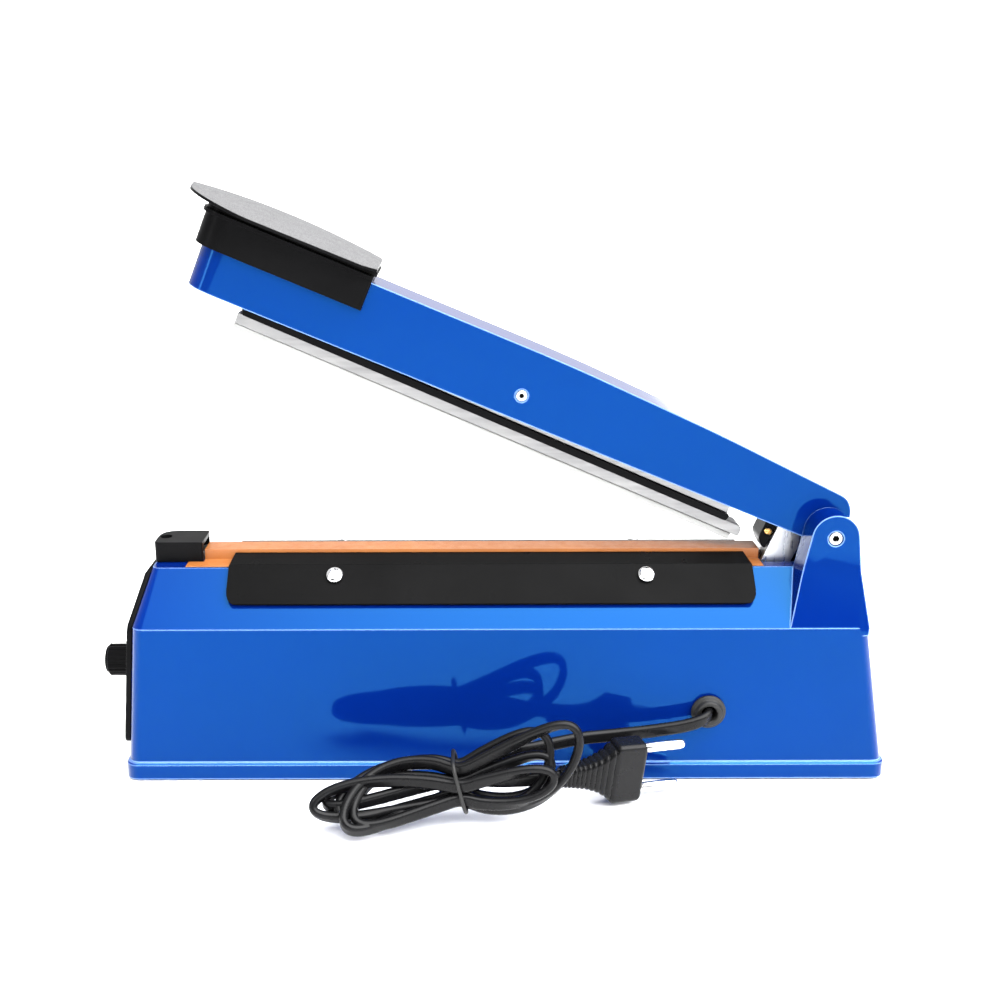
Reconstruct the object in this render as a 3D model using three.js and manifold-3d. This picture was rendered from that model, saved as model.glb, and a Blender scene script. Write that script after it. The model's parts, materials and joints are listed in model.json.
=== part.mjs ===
// Hand impulse heat sealer, 200 mm class, with its arm standing open.
// Millimetres. +X points from the timer knob to the hinge, +Y away from the mains cord, +Z up.
import * as THREE from "three";
import { mergeVertices } from "three/addons/utils/BufferGeometryUtils.js";
import Module from "manifold-3d";

const wasm = await Module();
wasm.setup();

// ---------------------------------------------------------------- driving dimensions
const BASE = {
  left: -161, // skirt ends, before the whole object is centred on its own length
  right: 160,
  halfWidth: 40,
  skirtBottom: 0.95,
  skirtTop: 8.2,
  ledge: 1.3,
  breakZ: 67.3, // where the side wall turns into the sloping shoulder
  breakLeft: -155,
  breakRight: 148.8,
  breakHalfWidth: 37.4,
  topZ: 87,
  topLeft: -149.6,
  topRight: 146.2,
  topHalfWidth: 16,
  wall: 2.5,
};
const HINGE = { x: 134.5, z: 103, earRadius: 9.8, earInner: 15.5, earOuter: 28.5 };
const ARM = {
  openDegrees: 22.58,
  halfWidth: 15,
  wall: 2.2,
  bottom: -6.7, // below the hinge axis, square to the arm
  top: 22.5,
  tip: 283.2, // from the hinge axis to the free end
};
const PIVOT = { along: 140.8, up: 3.4, barTiltDegrees: 1.0 };
const HEATER = { left: -136, right: 102, halfWidth: 5, bottom: 87.3, top: 90.7 };
const PTFE = { left: -135.4, right: 108.8, gap: 0.3, thickness: 0.25, reach: 9 };
const CLAMP = { left: -116.8, right: 103.6, thickness: 1.2, drop: 18.3, lift: 0.9 };
const CLAMP_SCREW_X = [-71.9, 58.5];
const KNOB = { z: 39.2, radius: 7.45, tipX: -176.8, backX: -160.9 };
const PANEL_THICKNESS = 2.6;
const CORD = { width: 5.6, gap: 0.3 };
const GROMMET = { x: 83.8, z: 31.2, radius: 7.2 };
const GAP = 0.3; // clearance between touching pieces
const CENTRE_SHIFT = -(KNOB.tipX + BASE.right) / 2; // puts the origin under the middle of the object

// ---------------------------------------------------------------- materials
const finish = (color, roughness, metalness = 0) =>
  new THREE.MeshStandardMaterial({ color, roughness, metalness });
const BLUE_ABS = finish(0x024bb9, 0.22);
const BLACK_ABS = finish(0x17171a, 0.5);
const BLACK_STEEL = finish(0x222223, 0.45, 0.3);
const GREY_PAD = finish(0xbcbcbc, 0.75);
const STEEL = finish(0xb9bbbd, 0.35, 0.9);
const CHROME = finish(0xdadcde, 0.15, 1);
const BRASS = finish(0xc79b45, 0.3, 1);
const ALUMINIUM = finish(0xc4c6c8, 0.4, 0.8);
const NICHROME = finish(0x8d8883, 0.4, 0.9);
const GLASS_PTFE = finish(0xc98b52, 0.55);
const SILICONE = finish(0xe6e6e2, 0.5);
const RUBBER = finish(0x1b1b1b, 0.8);
const CORD_PVC = finish(0x141416, 0.45);
const COPPER_COIL = finish(0xa8622c, 0.5, 0.4);
const BOARD_GREEN = finish(0x1f6b3a, 0.6);
const LAMP_RED = finish(0xc22a1e, 0.2);
const YELLOW_WIRE = finish(0xc9a227, 0.6);

// ---------------------------------------------------------------- solids and booleans
// A closed three.js geometry as a manifold-3d solid.
function solid(geometry) {
  const bare = geometry.clone();
  bare.deleteAttribute("normal");
  bare.deleteAttribute("uv");
  const merged = mergeVertices(bare, 1e-4);
  const vertProperties = new Float32Array(merged.attributes.position.array);
  const triVerts = new Uint32Array(merged.index.array);
  return new wasm.Manifold(new wasm.Mesh({ numProp: 3, vertProperties, triVerts }));
}

// The result of a boolean as a three.js geometry.
function geometryOf(shape) {
  const mesh = shape.getMesh();
  const geometry = new THREE.BufferGeometry();
  geometry.setAttribute("position", new THREE.BufferAttribute(mesh.vertProperties, 3));
  geometry.setIndex(new THREE.BufferAttribute(mesh.triVerts, 1));
  return geometry;
}

function piece(name, shape, material) {
  const mesh = new THREE.Mesh(geometryOf(shape), material);
  mesh.name = name;
  return mesh;
}

const join = (first, ...others) => others.reduce((sum, other) => sum.add(other), first);
const cut = (first, ...others) => others.reduce((rest, other) => rest.subtract(other), first);

// ---------------------------------------------------------------- basic shapes
function block(x0, x1, y0, y1, z0, z1) {
  const geometry = new THREE.BoxGeometry(x1 - x0, y1 - y0, z1 - z0);
  return solid(geometry.translate((x0 + x1) / 2, (y0 + y1) / 2, (z0 + z1) / 2));
}

const AXIS_TURN = {
  x: new THREE.Matrix4().makeRotationZ(-Math.PI / 2),
  y: new THREE.Matrix4(),
  z: new THREE.Matrix4().makeRotationX(Math.PI / 2),
};

// A round bar between two places along one axis; the other two coordinates are its centre.
function rod(axis, radius, from, to, centre, sides = 20) {
  const geometry = new THREE.CylinderGeometry(radius, radius, to - from, sides);
  geometry.applyMatrix4(AXIS_TURN[axis]);
  const middle = (from + to) / 2;
  const [a, b] = centre;
  const place = { x: [middle, a, b], y: [a, middle, b], z: [a, b, middle] }[axis];
  return solid(geometry.translate(...place));
}

const PLANES = {
  xz: [[1, 0, 0], [0, 0, 1], [0, -1, 0]],
  yz: [[0, 1, 0], [0, 0, 1], [1, 0, 0]],
  xy: [[1, 0, 0], [0, 1, 0], [0, 0, 1]],
};

// An outline drawn in a plane (points or a THREE.Shape) and extruded square to it, from one place to another.
function prism(plane, outline, from, to, curveSegments = 6) {
  const drawn = outline instanceof THREE.Shape;
  const shape = drawn ? outline : new THREE.Shape(outline.map(([a, b]) => new THREE.Vector2(a, b)));
  const depth = to - from;
  const geometry = new THREE.ExtrudeGeometry(shape, { depth, bevelEnabled: false, curveSegments });
  const [right, up, out] = PLANES[plane].map((v) => new THREE.Vector3(...v));
  geometry.applyMatrix4(new THREE.Matrix4().makeBasis(right, up, out));
  const start = plane === "xz" ? out.multiplyScalar(-to) : out.multiplyScalar(from);
  return solid(geometry.translate(start.x, start.y, start.z));
}

// A closed outline of straight sides whose corners are rounded; each point is [a, b, radius].
function roundedOutline(points) {
  const shape = new THREE.Shape();
  const at = (i) => new THREE.Vector2(...points[(i + points.length) % points.length].slice(0, 2));
  points.forEach(([, , wanted = 0], i) => {
    const corner = at(i);
    const room = Math.min(corner.distanceTo(at(i - 1)), corner.distanceTo(at(i + 1)));
    const radius = Math.min(wanted, room * 0.48);
    const towards = (other) => other.clone().sub(corner).normalize().multiplyScalar(radius);
    const start = corner.clone().add(towards(at(i - 1)));
    const end = corner.clone().add(towards(at(i + 1)));
    if (i === 0) shape.moveTo(start.x, start.y);
    else shape.lineTo(start.x, start.y);
    if (radius > 0) shape.quadraticCurveTo(corner.x, corner.y, end.x, end.y);
  });
  shape.closePath();
  return shape;
}

// A solid of revolution about the vertical through (x, y); the profile runs [radius, z] from axis to axis, upwards.
function turned(profile, [x, y], sides = 24) {
  const points = profile.map(([radius, z]) => new THREE.Vector2(radius, z));
  const geometry = new THREE.LatheGeometry(points, sides).rotateX(Math.PI / 2);
  return solid(geometry.translate(x, y, 0));
}

// The four rounded corners of one level of the housing, as a ring of points.
function levelRing({ left, right, halfWidth, radius, z }, steps = 5) {
  const ring = [];
  const corners = [
    [right - radius, halfWidth - radius, 0],
    [left + radius, halfWidth - radius, 1],
    [left + radius, -halfWidth + radius, 2],
    [right - radius, -halfWidth + radius, 3],
  ];
  for (const [cx, cy, quarter] of corners) {
    for (let i = 0; i <= steps; i++) {
      const angle = ((quarter + i / steps) * Math.PI) / 2;
      ring.push([cx + radius * Math.cos(angle), cy + radius * Math.sin(angle), z]);
    }
  }
  return ring;
}

// A closed skin through rings of equal count, stacked upwards, with flat caps.
function loft(rings) {
  const count = rings[0].length;
  const positions = rings.flat(2);
  const indices = [];
  for (let level = 0; level + 1 < rings.length; level++) {
    for (let i = 0; i < count; i++) {
      const a = level * count + i;
      const b = level * count + ((i + 1) % count);
      indices.push(a, b, b + count, a, b + count, a + count);
    }
  }
  const top = (rings.length - 1) * count;
  for (let i = 1; i + 1 < count; i++) {
    indices.push(0, i + 1, i);
    indices.push(top, top + i, top + i + 1);
  }
  const geometry = new THREE.BufferGeometry();
  geometry.setAttribute("position", new THREE.Float32BufferAttribute(positions, 3));
  geometry.setIndex(indices);
  return solid(geometry);
}

// A tube of round section swept along a smooth curve through the points.
function sweptTube(points, radius, sides, steps) {
  const curve = new THREE.CatmullRomCurve3(points.map((p) => new THREE.Vector3(...p)), false, "centripetal");
  const section = new THREE.Shape();
  for (let i = 0; i < sides; i++) {
    const angle = (2 * Math.PI * i) / sides;
    const [a, b] = [radius * Math.cos(angle), radius * Math.sin(angle)];
    if (i === 0) section.moveTo(a, b);
    else section.lineTo(a, b);
  }
  section.closePath();
  return solid(new THREE.ExtrudeGeometry(section, { steps, extrudePath: curve, bevelEnabled: false }));
}

// ---------------------------------------------------------------- base housing
const mix = (a, b, t) => a + (b - a) * t;

// The housing's end walls and sides at a height, from its three stages: skirt, wall and shoulder.
function housingAt(z) {
  if (z <= BASE.breakZ) {
    const t = (z - BASE.skirtTop) / (BASE.breakZ - BASE.skirtTop);
    return {
      left: mix(BASE.left + BASE.ledge, BASE.breakLeft, t),
      right: mix(BASE.right - BASE.ledge, BASE.breakRight, t),
      halfWidth: mix(BASE.halfWidth - BASE.ledge, BASE.breakHalfWidth, t),
      radius: 4.8,
      z,
    };
  }
  const t = (z - BASE.breakZ) / (BASE.topZ - BASE.breakZ);
  return {
    left: mix(BASE.breakLeft, BASE.topLeft, t),
    right: mix(BASE.breakRight, BASE.topRight, t),
    halfWidth: mix(BASE.breakHalfWidth, BASE.topHalfWidth, t),
    radius: mix(4.8, 3, t),
    z,
  };
}

function inset(level, amount) {
  return {
    ...level,
    left: level.left + amount,
    right: level.right - amount,
    halfWidth: level.halfWidth - amount,
    radius: Math.max(level.radius - amount, 1),
  };
}

function earOutline() {
  const { x, z, earRadius: r } = HINGE;
  const shape = new THREE.Shape();
  shape.moveTo(115.6, 64);
  shape.lineTo(BASE.breakRight - 0.4, 64);
  shape.lineTo(BASE.breakRight - 0.1, BASE.breakZ);
  shape.lineTo(x + r * Math.cos(0.13), z + r * Math.sin(0.13));
  shape.absarc(x, z, r, 0.13, Math.PI - 0.15, false);
  shape.lineTo(121.8, 89);
  shape.lineTo(115.9, BASE.breakZ);
  shape.closePath();
  return shape;
}

// One hinge ear: a plate with a rounded top that flares out into the housing's side wall. side is -1 or 1.
function hingeEar(side) {
  const plate = prism("xz", earOutline(), -BASE.breakHalfWidth, BASE.breakHalfWidth, 10);
  const profile = [
    [HINGE.earInner, 64],
    [BASE.breakHalfWidth - 0.1, 64],
    [BASE.breakHalfWidth - 0.1, BASE.breakZ],
    [HINGE.earOuter, 89],
    [HINGE.earOuter, 120],
    [HINGE.earInner, 120],
  ].map(([y, z]) => [side * y, z]);
  if (side < 0) profile.reverse();
  return plate.intersect(prism("yz", profile, 100, 160));
}

// Where a clamp screw sits: on the shoulder, a little below its upper edge.
const SHOULDER = new THREE.Vector2(BASE.breakHalfWidth - BASE.topHalfWidth, BASE.breakZ - BASE.topZ).normalize();
const SHOULDER_OUT = new THREE.Vector2(-SHOULDER.y, SHOULDER.x);

// A point [y, z] on the +Y shoulder, down the slope from its upper edge and out from its surface.
function onShoulder(down, out) {
  return [
    BASE.topHalfWidth + SHOULDER.x * down + SHOULDER_OUT.x * out,
    BASE.topZ + SHOULDER.y * down + SHOULDER_OUT.y * out,
  ];
}

const SCREW_DOWN = 5.2;
const SHOULDER_FOLD = Math.tan(Math.atan2(-SHOULDER.y, SHOULDER.x) / 2);

// A round bar square to the shoulder, between two distances out from its surface.
function shoulderRod(x, side, radius, from, to, sides = 20) {
  const geometry = new THREE.CylinderGeometry(radius, radius, to - from, sides);
  const [y, z] = onShoulder(SCREW_DOWN, (from + to) / 2);
  const tilt = Math.atan2(SHOULDER_OUT.y, SHOULDER_OUT.x);
  geometry.rotateX(side > 0 ? tilt : -tilt);
  return solid(geometry.translate(x, side * y, z));
}

const COVER_SCREW_PLACES = [
  [-144, -31.5],
  [-144, 31.5],
  [143, -31.5],
  [143, 31.5],
];

function baseHousing() {
  const skirt = { left: BASE.left, right: BASE.right, halfWidth: BASE.halfWidth, radius: 5.6 };
  const outer = loft([
    levelRing({ ...skirt, z: BASE.skirtBottom }),
    levelRing({ ...skirt, z: BASE.skirtTop - 0.9 }),
    levelRing(inset({ ...skirt, z: BASE.skirtTop }, 0.7)),
    levelRing({ ...housingAt(BASE.skirtTop), z: BASE.skirtTop + 0.1 }),
    levelRing(housingAt(BASE.breakZ)),
    levelRing(housingAt(BASE.topZ)),
  ]);
  const ceiling = BASE.topZ - BASE.wall;
  const cavity = loft([
    levelRing({ ...inset(housingAt(BASE.skirtTop), BASE.wall - 1.3), z: 0 }),
    levelRing({ ...inset(housingAt(BASE.skirtTop), BASE.wall - 1.3), z: 4 }),
    levelRing(inset(housingAt(4.2), BASE.wall + 1)),
    levelRing(inset({ ...housingAt(BASE.breakZ), z: BASE.breakZ - 1 }, BASE.wall)),
    levelRing(inset(housingAt(ceiling), BASE.wall)),
  ]);
  const bosses = COVER_SCREW_PLACES.map(([x, y]) => rod("z", 4.5, 3.4, 26, [x, y * 1.08], 16));
  const pilots = COVER_SCREW_PLACES.map(([x, y]) => rod("z", 1.9, 2, 16, [x, y], 12));
  const shoulderHoles = [-1, 1].flatMap((side) =>
    CLAMP_SCREW_X.map((x) => shoulderRod(x, side, 2.2, -9, 4, 16)),
  );
  const { x, z } = HINGE;
  const shell = join(cut(join(outer, hingeEar(-1), hingeEar(1)), cavity), ...bosses);
  return cut(
    shell,
    ...pilots,
    ...shoulderHoles,
    rod("y", 2.2, -40, 40, [x, z], 20),
    rod("y", 3.2, -40, -HINGE.earOuter + 1.3, [x, z], 24),
    rod("y", 4.2, HINGE.earOuter - 2.6, 40, [x, z], 24),
    block(107.6, 130, -9.6, 9.6, 80, 90),
    rod("z", 2.3, 80, 92, [-140.4, 0], 16),
    rod("z", 2.3, 80, 92, [105, 0], 16),
    rod("z", 1.9, 80, 92, [-146.4, 0], 12),
    rod("x", 4, -162, -148, [0, KNOB.z], 20),
    rod("x", 3, -162, -148, [18, 58], 16),
    rod("y", 5.2, -42, -34, [GROMMET.x, GROMMET.z], 20),
  );
}

function bottomCover() {
  const level = { left: BASE.left + 3, right: BASE.right - 3, halfWidth: 37, radius: 6 };
  const plate = loft([levelRing({ ...level, z: 1.1 }), levelRing({ ...level, z: 3 })]);
  const holes = COVER_SCREW_PLACES.map(([x, y]) => rod("z", 2, 0, 4, [x, y], 16));
  const heads = COVER_SCREW_PLACES.map(([x, y]) => rod("z", 3.9, 0, 2, [x, y], 16));
  const slots = [];
  for (let i = 0; i < 6; i++) {
    const x = -30 + i * 9;
    slots.push(block(x, x + 3, -14, 14, 0, 4));
  }
  return cut(plate, ...holes, ...heads, ...slots);
}

function baseFasteners() {
  const group = new THREE.Group();
  const corner = ["front_left", "rear_left", "front_right", "rear_right"];
  COVER_SCREW_PLACES.forEach(([x, y], i) => {
    const footX = x + (x < 0 ? 1 : -1) * 13;
    const foot = turned([[0, 0], [6.2, 0], [6.6, 0.3], [6.6, 0.8], [0, 0.8]], [footX, y * 0.93], 20);
    group.add(piece(`foot_${corner[i]}`, foot, RUBBER));
    const screw = turned([[0, 1.0], [3.4, 1.0], [1.6, 1.9], [1.6, 13], [0, 13]], [x, y], 14);
    group.add(piece(`cover_screw_${corner[i]}`, screw, STEEL));
  });
  return group;
}

// ---------------------------------------------------------------- control end
function controlPanel() {
  const face = (z, out) => housingAt(z).left - out;
  const profile = [
    [face(14, GAP), 14],
    [face(BASE.breakZ, GAP), BASE.breakZ],
    [face(86.7, GAP), 86.7],
    [face(86.7, 1.4), 86.7],
    [face(84.5, PANEL_THICKNESS), 84.5],
    [face(BASE.breakZ, PANEL_THICKNESS), BASE.breakZ],
    [face(14, PANEL_THICKNESS), 14],
  ];
  const outline = roundedOutline([
    [-33.5, 14, 5],
    [33.5, 14, 5],
    [32.8, 66, 3],
    [13, 87.2, 3],
    [-13, 87.2, 3],
    [-32.8, 66, 3],
  ]);
  const slab = prism("xz", profile, -36, 36).intersect(prism("yz", outline, -175, -140));
  return cut(slab, rod("x", 4, -170, -148, [0, KNOB.z], 20), rod("x", 3, -170, -148, [18, 58], 16));
}

function timerKnob() {
  const ribs = 24;
  const shape = new THREE.Shape();
  for (let i = 0; i < ribs * 2; i++) {
    const angle = (Math.PI * i) / ribs;
    const radius = i % 2 ? KNOB.radius - 0.7 : KNOB.radius;
    const [a, b] = [radius * Math.cos(angle), KNOB.z + radius * Math.sin(angle)];
    if (i === 0) shape.moveTo(a, b);
    else shape.lineTo(a, b);
  }
  shape.closePath();
  const grip = prism("yz", shape, KNOB.tipX + 2.2, KNOB.backX - 3);
  const collar = rod("x", 7.8, KNOB.backX - 3, KNOB.backX, [0, KNOB.z], 28);
  const nose = rod("x", KNOB.radius - 1.3, KNOB.tipX + 0.6, KNOB.tipX + 2.2, [0, KNOB.z], 28);
  const nub = rod("x", 1.6, KNOB.tipX, KNOB.tipX + 0.6, [0, KNOB.z], 12);
  const socket = rod("x", 3.1, KNOB.backX - 9, KNOB.backX + 1, [0, KNOB.z], 16);
  return cut(join(grip, collar, nose, nub), socket);
}

function potentiometer() {
  return join(
    rod("x", 8, -151.6, -144, [0, KNOB.z], 20),
    rod("x", 3.5, -160, -151.6, [0, KNOB.z], 16),
    rod("x", 2.8, -169, -160, [0, KNOB.z], 16),
    block(-144, -142.3, -5, 5, KNOB.z - 5, KNOB.z + 5),
  );
}

function controlInternals() {
  const group = new THREE.Group();
  group.add(piece("potentiometer", potentiometer(), STEEL));
  const lamp = join(
    rod("x", 2.6, -159.6, -140, [18, 58], 14),
    rod("x", 3.6, -161, -159.6, [18, 58], 16),
  );
  group.add(piece("indicator_lamp", lamp, LAMP_RED));
  const board = cut(
    block(-142, -140.4, -26, 26, 18, 62),
    rod("x", 3, -145, -139, [18, 58], 16),
    rod("x", 3, -145, -139, [0, KNOB.z], 12),
  );
  group.add(piece("timer_board", board, BOARD_GREEN));
  group.add(piece("board_relay", block(-140.1, -124, -22, -6, 24, 40), BLACK_ABS));
  group.add(piece("board_capacitor", rod("x", 5, -140.1, -122, [9, 30], 16), BLACK_STEEL));
  return group;
}

// ---------------------------------------------------------------- heater line
function heaterEndCover() {
  const outline = roundedOutline([
    [-150, -9, 2.6],
    [-129.3, -9, 1.2],
    [-129.3, 9, 1.2],
    [-150, 9, 8],
  ]);
  const shell = prism("xy", outline, HEATER.bottom, 96, 4);
  return cut(
    shell,
    block(-143, -125, -6.8, 6.8, 80, 94),
    rod("z", 2.5, 92.4, 100, [-146.4, 0], 16),
    rod("z", 1.9, 80, 100, [-146.4, 0], 12),
  );
}

// The glass-cloth PTFE sheet: over the bar, down its sides, across the top and over the shoulders.
function ptfeSheet() {
  const inner = HEATER.halfWidth + PTFE.gap;
  const t = PTFE.thickness;
  const floor = BASE.topZ + PTFE.gap;
  const roof = HEATER.top + 0.85;
  const lower = onShoulder(PTFE.reach, PTFE.gap);
  const upper = onShoulder(PTFE.reach, PTFE.gap + t);
  const fold = (out) => [BASE.topHalfWidth + out * SHOULDER_FOLD, BASE.topZ + out];
  const half = [
    [inner, roof],
    [inner, floor],
    fold(PTFE.gap),
    lower,
    upper,
    fold(PTFE.gap + t),
    [inner + t, floor + t],
    [inner + t, roof + t],
  ];
  const mirrored = half.map(([y, z]) => [-y, z]).reverse();
  const sheet = prism("yz", [...half, ...mirrored], PTFE.left, PTFE.right);
  const holes = [-1, 1].flatMap((side) => CLAMP_SCREW_X.map((x) => shoulderRod(x, side, 2.3, -1, 2, 16)));
  // Beyond the clamp plates the sheet stops at the shoulder's upper edge.
  const trims = [-1, 1].flatMap((side) => {
    const [a, b] = [side * (BASE.topHalfWidth - 0.3), side * 40];
    const across = [Math.min(a, b), Math.max(a, b)];
    return [
      block(PTFE.left - 1, CLAMP.left + 4, ...across, 70, 95),
      block(CLAMP.right - 4, PTFE.right + 1, ...across, 70, 95),
    ];
  });
  // At the heater's free end only the two side flaps go on, past the end cover.
  const coverGap = block(PTFE.left - 1, -128.95, -9.35, 9.35, 80, 95);
  return cut(sheet, ...holes, coverGap, ...trims);
}

// A pressed-steel clamp: a flap on the shoulder and a lip that holds the sheet against the bar.
function clampPlate(side) {
  const t = CLAMP.thickness;
  const profile = [
    onShoulder(0, CLAMP.lift),
    onShoulder(CLAMP.drop, CLAMP.lift),
    onShoulder(CLAMP.drop, CLAMP.lift + t),
    onShoulder(-0.4, CLAMP.lift + t),
    [HEATER.halfWidth + 1.1, 90.6],
    [HEATER.halfWidth + 1.1, 89.4],
  ].map(([y, z]) => [side * y, z]);
  if (side > 0) profile.reverse();
  const plate = prism("yz", profile, CLAMP.left, CLAMP.right);
  // Seen from the side the lower corners are round and the lip is clipped at its ends.
  const foot = onShoulder(CLAMP.drop, CLAMP.lift)[1];
  const [round, rise] = [8, 8 * -SHOULDER.y];
  const outline = new THREE.Shape();
  outline.moveTo(CLAMP.left + round, foot - 0.1);
  outline.lineTo(CLAMP.right - round, foot - 0.1);
  outline.quadraticCurveTo(CLAMP.right, foot - 0.1, CLAMP.right, foot + rise);
  outline.lineTo(CLAMP.right, 88.4);
  outline.lineTo(CLAMP.right - 2.6, 92);
  outline.lineTo(CLAMP.left + 1.8, 92);
  outline.lineTo(CLAMP.left, 88.4);
  outline.lineTo(CLAMP.left, foot + rise);
  outline.quadraticCurveTo(CLAMP.left, foot - 0.1, CLAMP.left + round, foot - 0.1);
  const kept = plate.intersect(prism("xz", outline, -45, 45));
  return cut(kept, ...CLAMP_SCREW_X.map((x) => shoulderRod(x, side, 2.2, -2, 5, 16)));
}

function heaterLine() {
  const group = new THREE.Group();
  const { left, right, halfWidth, bottom, top } = HEATER;
  group.add(piece("heater_end_cover", heaterEndCover(), BLACK_ABS));
  const endScrew = join(
    rod("z", 1.5, 80, 92.7, [-146.4, 0], 12),
    rod("z", 2.1, 92.7, 94, [-146.4, 0], 12),
  );
  group.add(piece("end_cover_screw", endScrew, STEEL));
  group.add(piece("heater_bar", block(left, right, -halfWidth, halfWidth, bottom, top), ALUMINIUM));
  const ribbon = block(left + 0.5, right - 0.5, -1.2, 1.2, top + GAP, top + GAP + 0.25);
  group.add(piece("heating_element", ribbon, NICHROME));
  group.add(piece("ptfe_sheet", ptfeSheet(), GLASS_PTFE));
  const sides = { front: -1, rear: 1 };
  for (const [name, side] of Object.entries(sides)) {
    group.add(piece(`clamp_plate_${name}`, clampPlate(side), BLACK_STEEL));
    CLAMP_SCREW_X.forEach((x, i) => {
      const seat = CLAMP.lift + CLAMP.thickness + GAP;
      const screw = join(
        shoulderRod(x, side, 1.9, -7, seat + 0.5, 14),
        shoulderRod(x, side, 3.7, seat, seat + 1.1, 20),
        shoulderRod(x, side, 2.9, seat + 1.1, seat + 1.9, 20),
      );
      group.add(piece(`clamp_screw_${name}_${i + 1}`, screw, CHROME));
    });
  }
  const terminals = { left: [-140.4, 74], right: [105, 82.5] };
  for (const [name, [x, foot]] of Object.entries(terminals)) {
    const post = join(rod("z", 1.7, foot, 90.2, [x, 0], 14), rod("z", 2.4, 90.2, 91, [x, 0], 14));
    group.add(piece(`terminal_${name}`, post, BRASS));
  }
  return group;
}

// ---------------------------------------------------------------- inside the base
const POWER = { x: -60, lowZ: 5, stack: 17, halfLength: 29, highZ: 53 };

function transformer() {
  const group = new THREE.Group();
  const { x, lowZ, stack, halfLength, highZ } = POWER;
  const window = { in: 9, out: 20, low: lowZ + 10, high: highZ - 10 };
  const frame = block(x - halfLength, x + halfLength, -stack, stack, lowZ, highZ);
  const windows = [-1, 1].map((side) => {
    const [a, b] = [x + side * window.in, x + side * window.out];
    return block(Math.min(a, b), Math.max(a, b), -stack - 1, stack + 1, window.low, window.high);
  });
  group.add(piece("transformer_core", cut(frame, ...windows), BLACK_STEEL));
  const around = stack + 7;
  const outerCoil = block(x - 19.4, x + 19.4, -around, around, window.low + 0.6, window.high - 0.6);
  const limb = block(x - 9.4, x + 9.4, -stack - 0.4, stack + 0.4, lowZ, highZ);
  const yokes = [-1, 1].map((side) => {
    const [a, b] = [x + side * 19.4, x + side * 30];
    return block(Math.min(a, b), Math.max(a, b), -stack - 0.4, stack + 0.4, lowZ, highZ);
  });
  group.add(piece("transformer_coil", cut(outerCoil, limb, ...yokes), COPPER_COIL));
  const strap = join(
    block(x - halfLength - 2, x + halfLength + 2, -10, 10, highZ + GAP, highZ + 1.5),
    block(x - halfLength - 1.5, x - halfLength - GAP, -10, 10, 3.4, highZ + 1.5),
    block(x + halfLength + GAP, x + halfLength + 1.5, -10, 10, 3.4, highZ + 1.5),
    block(x - halfLength - 10, x - halfLength - GAP, -10, 10, 3.4, 4.6),
    block(x + halfLength + GAP, x + halfLength + 10, -10, 10, 3.4, 4.6),
  );
  group.add(piece("transformer_strap", strap, STEEL));
  return group;
}

const SWITCH = { x0: 129, x1: 137, z0: 58, z1: 78, buttonZ: 69.5, travel: 1.2 };

function microSwitch() {
  const body = block(SWITCH.x0, SWITCH.x1, -5, 5, SWITCH.z0, SWITCH.z1);
  const tabs = [-3, 0, 3].map((y) => block(133 + y / 3, 134 + y / 3, y - 0.9, y + 0.9, 52, 59));
  const well = block(127, 131.2, -2, 2, SWITCH.buttonZ - 2, SWITCH.buttonZ + 2);
  return cut(join(body, ...tabs), well);
}

function switchButton() {
  return block(SWITCH.x0 - 2.6, SWITCH.x0 + 0.7, -1.6, 1.6, SWITCH.buttonZ - 1.6, SWITCH.buttonZ + 1.6);
}

// A close-wound tension spring that lies along X between its anchor and the arm's bracket.
function returnSpring() {
  const [from, to, z] = [66, 101, 73.5];
  const turns = 9;
  const points = [];
  const stepsPerTurn = 10;
  for (let i = 0; i <= turns * stepsPerTurn; i++) {
    const angle = (2 * Math.PI * i) / stepsPerTurn;
    const x = mix(from, to, i / (turns * stepsPerTurn));
    points.push([x, 4 * Math.cos(angle), z + 4 * Math.sin(angle)]);
  }
  return sweptTube(points, 0.7, 6, turns * stepsPerTurn);
}

function baseInternals() {
  const group = new THREE.Group();
  group.add(transformer());
  group.add(piece("micro_switch", microSwitch(), BLACK_ABS));
  group.add(piece("micro_switch_button", switchButton(), finish(0xb02a24, 0.4)));
  group.add(piece("return_spring", returnSpring(), STEEL));
  const wires = {
    wire_heater_left: [[-140.4, 0, 72.8], [-139, 4, 66], [-128, 12, 62], [-108, 14, 60], [-92, 8, 56]],
    wire_heater_right: [
      [104.4, 0, 80.9], [100, -4, 80.6], [92, -12, 78], [76, -20, 70], [36, -24, 62], [0, -22, 60], [-26, -12, 58],
    ],
  };
  for (const [name, route] of Object.entries(wires)) {
    group.add(piece(name, sweptTube(route, 1.1, 6, 24), YELLOW_WIRE));
  }
  return group;
}

// ---------------------------------------------------------------- hinge hardware
function hingeBolt() {
  const { x, z, earOuter } = HINGE;
  const shank = rod("y", 1.9, -earOuter + 0.9, earOuter + 0.6, [x, z], 20);
  const head = rod("y", 2.8, -earOuter + 0.1, -earOuter + 1, [x, z], 24);
  const socket = rod("y", 1.3, -earOuter - 1, -earOuter + 0.8, [x, z], 6);
  return cut(join(shank, head), socket);
}

function hingeNut() {
  const { x, z, earOuter } = HINGE;
  const hexagon = rod("y", 3.7, earOuter - 2.2, earOuter - 0.1, [x, z], 6);
  return cut(hexagon, rod("y", 2.2, earOuter - 3, earOuter + 1, [x, z], 20));
}

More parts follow.
